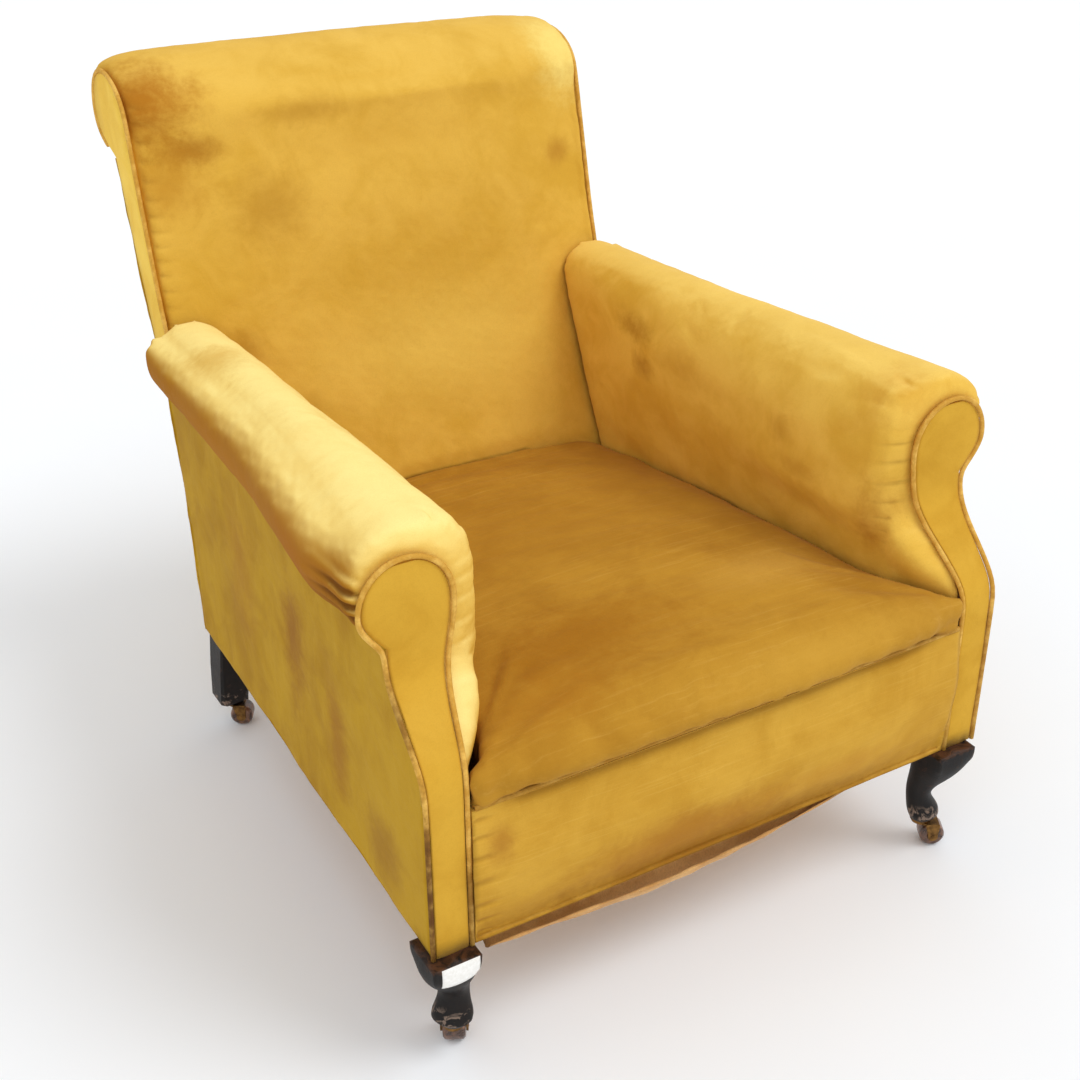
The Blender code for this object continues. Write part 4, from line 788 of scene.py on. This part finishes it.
lining = piece("loose_lining", smoothed("bottom_cloth", 2, COVER_CREASE), lining_material,
               ["bottom_cloth"])
move(lining.data, lining_shape)
print("lining", len(lining.data.polygons), "faces, one side",
      round(sum(face.area for face in lining.data.polygons) / 2.0, 4), "square metres")

# %% [markdown]
# ## Timber
# Ebonised legs, nearly black, rubbed brown on their edges and scratched pale at the toes; plain
# beech for the frame inside.

# %% Timber
black, place, join, bump = new_material("black_timber", Roughness=0.5, Coat_Weight=0.04,
                                        Coat_Roughness=0.35, Specular_IOR_Level=0.22)
grain = place.noise(1.0, 6.0, 0.65, stretch=(90.0, 90.0, 12.0))
chips = place.noise(75.0, 6.0, 0.7, distortion=1.2)
height = place.node("ShaderNodeSeparateXYZ", out=2, Vector=place)
colour = grain.ramp(0.3, 0.75).mix(rgb(12, 10, 9), rgb(30, 23, 20))
CHIP_REACH, TOE_HEIGHT = 0.030, 0.052
rim = (height + (chips - 0.5) * CHIP_REACH).ramp(0.139, 0.147)
colour = (rim * 0.7).mix(colour, rgb(96, 60, 36))
toe = (height + (chips - 0.5) * CHIP_REACH - TOE_HEIGHT).math("ABSOLUTE").ramp(0.014, 0.004)
scratch = chips.ramp(0.52, 0.60) * toe
colour = (scratch * 0.75).mix(colour, rgb(150, 128, 112))
colour = (chips.ramp(0.60, 0.72) * 0.5).mix(colour, rgb(84, 54, 36))
join(Base_Color=colour, Roughness=grain * 0.25 + 0.40)
bump(grain + chips * 1.5, 0.0006, 0.5)

beech, place, join, bump = new_material("beech_frame", Roughness=0.6)
rings = place.noise(1.0, 5.0, 0.6, stretch=(14.0, 60.0, 60.0), distortion=0.4)
flecks = place.noise(260.0, 3.0, 0.6)
colour = rings.ramp(0.3, 0.7).mix(rgb(150, 108, 66), rgb(196, 156, 106))
colour = (flecks.ramp(0.55, 0.7) * 0.3).mix(colour, rgb(120, 80, 48))
join(Base_Color=colour)
bump(rings + flecks * 0.4, 0.0005, 0.4)


def finish_node(node, material):
    """Give a solid that stays as it is its material."""
    if not NODES[node].data.materials:
        NODES[node].data.materials.append(material)
    for slot in NODES[node].material_slots:
        slot.material = material


for node in NODES:
    if node.startswith("front_leg"):
        piece(node + "_shaped", smoothed(node, 2, 0.75), black, [node])
    elif node.startswith("back_post"):
        finish_node(node, black)
    elif "rail" in node or node.startswith("arm_stump"):
        finish_node(node, beech)
print("timber done")

# %% [markdown]
# ## Castors, springs and webs
# Dull brass, dark turned bowls with a pink-brown glint, blackened wire, jute and hessian.

# %% Castors, springs and webs
brass, place, join, bump = new_material("old_brass", Metallic=1.0, Roughness=0.45)
tarnish = place.noise(140.0, 5.0, 0.65)
colour = tarnish.ramp(0.35, 0.7).mix(rgb(92, 66, 38), rgb(150, 112, 62))
join(Base_Color=colour, Roughness=tarnish * 0.4 + 0.25)
bump(tarnish, 0.0003, 0.5)

bowl, place, join, bump = new_material("bowl_wood", Roughness=0.28, Coat_Weight=0.4)
turned = place.noise(90.0, 5.0, 0.6, distortion=0.8)
colour = turned.ramp(0.35, 0.7).mix(rgb(58, 34, 22), rgb(128, 88, 64))
# Painted glint: pale pink-brown flecks over the dark brown.
colour = (turned.ramp(0.62, 0.75) * 0.6).mix(colour, rgb(196, 158, 140))
join(Base_Color=colour, Roughness=turned * 0.3 + 0.15)
bump(turned, 0.0003, 0.5)

wire, place, join, bump = new_material("spring_wire", Metallic=1.0, Roughness=0.5)
rust = place.noise(200.0, 4.0, 0.6)
join(Base_Color=rust.ramp(0.45, 0.7).mix(rgb(62, 56, 52), rgb(110, 66, 40)))
bump(rust, 0.0002, 0.5)


def woven(name, dark, light, thread):
    """Plain weave from two crossed runs of lines, in the plane of each web."""
    material, place, join, bump = new_material(name, Roughness=0.95, Specular_IOR_Level=0.1)
    warp = place.noise(1.0, 2.0, 0.5, stretch=(thread, 30.0, 30.0))
    weft = place.noise(1.0, 2.0, 0.5, stretch=(30.0, thread, thread))
    colour = (warp * 0.5 + weft * 0.5).ramp(0.38, 0.62).mix(dark, light)
    join(Base_Color=colour)
    bump(warp + weft, 0.0008, 0.8)
    return material


jute = woven("jute_web", rgb(112, 84, 50), rgb(176, 144, 96), 520.0)
hessian = woven("hessian_cloth", rgb(124, 96, 58), rgb(186, 156, 110), 760.0)
for node in NODES:
    if node.startswith("castor_bowl"):
        finish_node(node, bowl)
    elif node.startswith("castor_"):
        finish_node(node, brass)
    elif node.startswith("seat_spring"):
        finish_node(node, wire)
    elif node.endswith("webbing"):
        finish_node(node, jute)
    elif node == "spring_hessian":
        finish_node(node, hessian)
print("hardware done")

# %% [markdown]
# ## Slip stitches
# The back cover is sewn on by hand. One Geometry Nodes group lays short thread stitches at an
# even pitch along a seam's path.


# %% Slip stitches
STITCH_TURN = 0.22
BACK_EDGE_PATH = [(0.144, 0.321), (0.300, 0.366), (0.455, 0.434), (0.610, 0.488), (0.700, 0.510)]
BACK_EDGE_HALF, BACK_EDGE_TAPER, BACK_EDGE_RISE = 0.3195, 0.019, 0.33
STITCH_PROUD = 0.0022


def stitch_group():
    """Node tree that lays short thread cylinders along a curve, each turned a little."""
    group = bpy.data.node_groups.new("slip_stitches", "GeometryNodeTree")
    group.interface.new_socket("Geometry", in_out="INPUT", socket_type="NodeSocketGeometry")
    for label, kind, value in (("Pitch", "NodeSocketFloat", 0.011),
                               ("Length", "NodeSocketFloat", 0.0055),
                               ("Thread", "NodeSocketFloat", 0.0007),
                               ("Seed", "NodeSocketInt", 5),
                               ("Material", "NodeSocketMaterial", None)):
        made = group.interface.new_socket(label, in_out="INPUT", socket_type=kind)
        if value is not None:
            made.default_value = value
    group.interface.new_socket("Geometry", in_out="OUTPUT", socket_type="NodeSocketGeometry")
    nodes, links = group.nodes, group.links

    def add(kind, **settings):
        made = nodes.new(kind)
        for key, value in settings.items():
            setattr(made, key, value)
        return made

    source = add("NodeGroupInput")
    sink = add("NodeGroupOutput")
    spread = add("GeometryNodeCurveToPoints", mode="LENGTH")
    links.new(source.outputs["Geometry"], spread.inputs["Curve"])
    links.new(source.outputs["Pitch"], spread.inputs["Length"])
    thread = add("GeometryNodeMeshCylinder")
    thread.inputs["Vertices"].default_value = 6
    links.new(source.outputs["Thread"], thread.inputs["Radius"])
    links.new(source.outputs["Length"], thread.inputs["Depth"])
    wobble = add("FunctionNodeRandomValue", data_type="FLOAT_VECTOR")
    wobble.inputs[0].default_value = (-STITCH_TURN, -STITCH_TURN, -STITCH_TURN)
    wobble.inputs[1].default_value = (STITCH_TURN, STITCH_TURN, STITCH_TURN)
    links.new(source.outputs["Seed"], wobble.inputs["Seed"])
    turn = add("FunctionNodeRotateRotation", rotation_space="LOCAL")
    links.new(spread.outputs["Rotation"], turn.inputs["Rotation"])
    links.new(wobble.outputs[0], turn.inputs["Rotate By"])
    place = add("GeometryNodeInstanceOnPoints")
    links.new(spread.outputs["Points"], place.inputs["Points"])
    links.new(thread.outputs["Mesh"], place.inputs["Instance"])
    links.new(turn.outputs["Rotation"], place.inputs["Rotation"])
    solid = add("GeometryNodeRealizeInstances")
    links.new(place.outputs["Instances"], solid.inputs["Geometry"])
    paint = add("GeometryNodeSetMaterial")
    links.new(solid.outputs["Geometry"], paint.inputs["Geometry"])
    links.new(source.outputs["Material"], paint.inputs["Material"])
    links.new(paint.outputs["Geometry"], sink.inputs["Geometry"])
    return group


def seam_points():
    """Paths just proud of the back cover's two sewn edges, (height, depth) by point."""
    foot = BACK_EDGE_PATH[0][0]
    for sign in (-1.0, 1.0):
        yield [(sign * (BACK_EDGE_HALF - BACK_EDGE_TAPER * min(1.0, (z - foot) / BACK_EDGE_RISE)),
                y + SHIFT_Y + STITCH_PROUD, z) for z, y in BACK_EDGE_PATH]


thread_material, place, join, bump = new_material("sewing_thread", Roughness=0.8)
twist = place.noise(700.0, 2.0, 0.5)
join(Base_Color=twist.ramp(0.35, 0.65).mix(rgb(148, 112, 48), rgb(196, 158, 82)))
bump(twist, 0.0002, 0.5)
STITCHES = stitch_group()
paths = bpy.data.curves.new("seams", "CURVE")
paths.dimensions = "3D"
for line in seam_points():
    spline = paths.splines.new("POLY")
    spline.points.add(len(line) - 1)
    for point, spot in zip(spline.points, line):
        point.co = (*spot, 1.0)
seams = bpy.data.objects.new("seams", paths)
bpy.context.scene.collection.objects.link(seams)
sewing = seams.modifiers.new("stitches", "NODES")
sewing.node_group = STITCHES
for item in STITCHES.interface.items_tree:
    # A modifier takes its input by the socket's identifier.
    if item.in_out == "INPUT" and item.name == "Material":
        sewing[item.identifier] = thread_material
bpy.context.view_layer.update()
graph = bpy.context.evaluated_depsgraph_get()
stitch_mesh = bpy.data.meshes.new_from_object(seams.evaluated_get(graph))
bpy.data.objects.remove(seams)
piece("slip_stitches", stitch_mesh, thread_material, [])
print("stitches", len(stitch_mesh.polygons), "faces")

# %% [markdown]
# ## A blank sticker
# A small plain white sticker on the left knee, with nothing on it.

# %% A blank sticker
paper, place, join, bump = new_material("blank_paper", Roughness=0.6)
fibre = place.noise(300.0, 4.0, 0.6)
join(Base_Color=fibre.ramp(0.3, 0.8).mix(rgb(238, 236, 230), rgb(252, 251, 248)))
bump(fibre, 0.0001, 0.4)
STICKER_X = (-0.3425, -0.3015)
STICKER_Z = (0.1195, 0.1436)
STICKER_THICK = 0.0003
STICKER_COLUMNS, STICKER_ROWS = 14, 9
IN_FRONT_Y = -1.0


def sticker_mesh(leg):
    """Paper pressed on the front of the knee: a grid thrown at the leg from in front."""
    tree = tree_of(leg)
    mesh = bmesh.new()
    grid = []
    for row in range(STICKER_ROWS + 1):
        z = STICKER_Z[0] + (STICKER_Z[1] - STICKER_Z[0]) * row / STICKER_ROWS
        line = []
        for column in range(STICKER_COLUMNS + 1):
            x = STICKER_X[0] + (STICKER_X[1] - STICKER_X[0]) * column / STICKER_COLUMNS
            hit = tree.ray_cast(Vector((x, IN_FRONT_Y, z)), Vector((0.0, 1.0, 0.0)))[0]
            line.append(mesh.verts.new((x, hit.y - STICKER_THICK * 0.5, z)))
        grid.append(line)
    for low, high in zip(grid, grid[1:]):
        for a, b, c, d in zip(low, low[1:], high[1:], high):
            mesh.faces.new((a, b, c, d))
    made = bpy.data.meshes.new("blank_sticker")
    mesh.to_mesh(made)
    mesh.free()
    flat = bpy.data.objects.new("holder", made)

    def setup(copy):
        card = copy.modifiers.new("card", "SOLIDIFY")
        card.thickness = STICKER_THICK
        card.offset = 0.0
    result = baked(flat, setup)
    bpy.data.objects.remove(flat)
    return result


knee = bpy.data.objects["front_leg_left_shaped"].data
sticker = piece("blank_sticker", sticker_mesh(knee), paper, [])
print("sticker", len(sticker.data.polygons), "faces")

# %% [markdown]
# ## Floor and light
# A pale floor under a white surround, a soft key from the upper right and a large fill. The
# surround is brighter to the camera than as a light.

# %% Floor and light
FLOOR_HALF, FLOOR_DROP = 14.0, 0.0006
WORLD_LIGHT, WORLD_SEEN = 0.80, 1.0
WHITE = (1.0, 1.0, 1.0, 1.0)
floor_mesh = bpy.data.meshes.new("floor")
floor_mesh.from_pydata([(-FLOOR_HALF, -FLOOR_HALF, 0), (FLOOR_HALF, -FLOOR_HALF, 0),
                        (FLOOR_HALF, FLOOR_HALF, 0), (-FLOOR_HALF, FLOOR_HALF, 0)],
                       [], [(0, 1, 2, 3)])
floor = bpy.data.objects.new("floor", floor_mesh)
bpy.context.scene.collection.objects.link(floor)
floor.location.z = -FLOOR_DROP
floor_material, place, join, bump = new_material("pale_floor", Roughness=0.9,
                                                 Specular_IOR_Level=0.1)
speck = place.noise(3.0, 2.0, 0.5)
join(Base_Color=speck.ramp(0.0, 1.0).mix((0.91, 0.935, 0.965), (0.93, 0.955, 0.985)))
floor_mesh.materials.append(floor_material)

world = bpy.data.worlds.new("studio")
bpy.context.scene.world = world
world.use_nodes = True
tree = world.node_tree
background = tree.nodes["Background"]
background.inputs["Color"].default_value = WHITE
background.inputs["Strength"].default_value = WORLD_LIGHT
bright = tree.nodes.new("ShaderNodeBackground")
bright.inputs["Color"].default_value = WHITE
bright.inputs["Strength"].default_value = WORLD_SEEN
path = tree.nodes.new("ShaderNodeLightPath")
either = tree.nodes.new("ShaderNodeMath")
either.operation = "MAXIMUM"
tree.links.new(path.outputs["Is Camera Ray"], either.inputs[0])
tree.links.new(path.outputs["Is Transmission Ray"], either.inputs[1])
blend = tree.nodes.new("ShaderNodeMixShader")
tree.links.new(either.outputs[0], blend.inputs[0])
tree.links.new(background.outputs[0], blend.inputs[1])
tree.links.new(bright.outputs[0], blend.inputs[2])
tree.links.new(blend.outputs[0], tree.nodes["World Output"].inputs["Surface"])


def sun(name, towards, strength, spread):
    """Even light from a direction; spread in degrees softens its shadow."""
    data = bpy.data.lights.new(name, "SUN")
    data.energy = strength
    data.angle = math.radians(spread)
    lamp = bpy.data.objects.new(name, data)
    bpy.context.scene.collection.objects.link(lamp)
    lamp.rotation_euler = Vector(towards).to_track_quat("Z", "Y").to_euler()


sun("key", (0.62, -0.50, 1.15), 0.95, 30.0)
sun("fill", (-0.60, -1.00, 0.75), 0.30, 70.0)
bpy.context.scene.view_settings.view_transform = "Standard"
print("stage set")
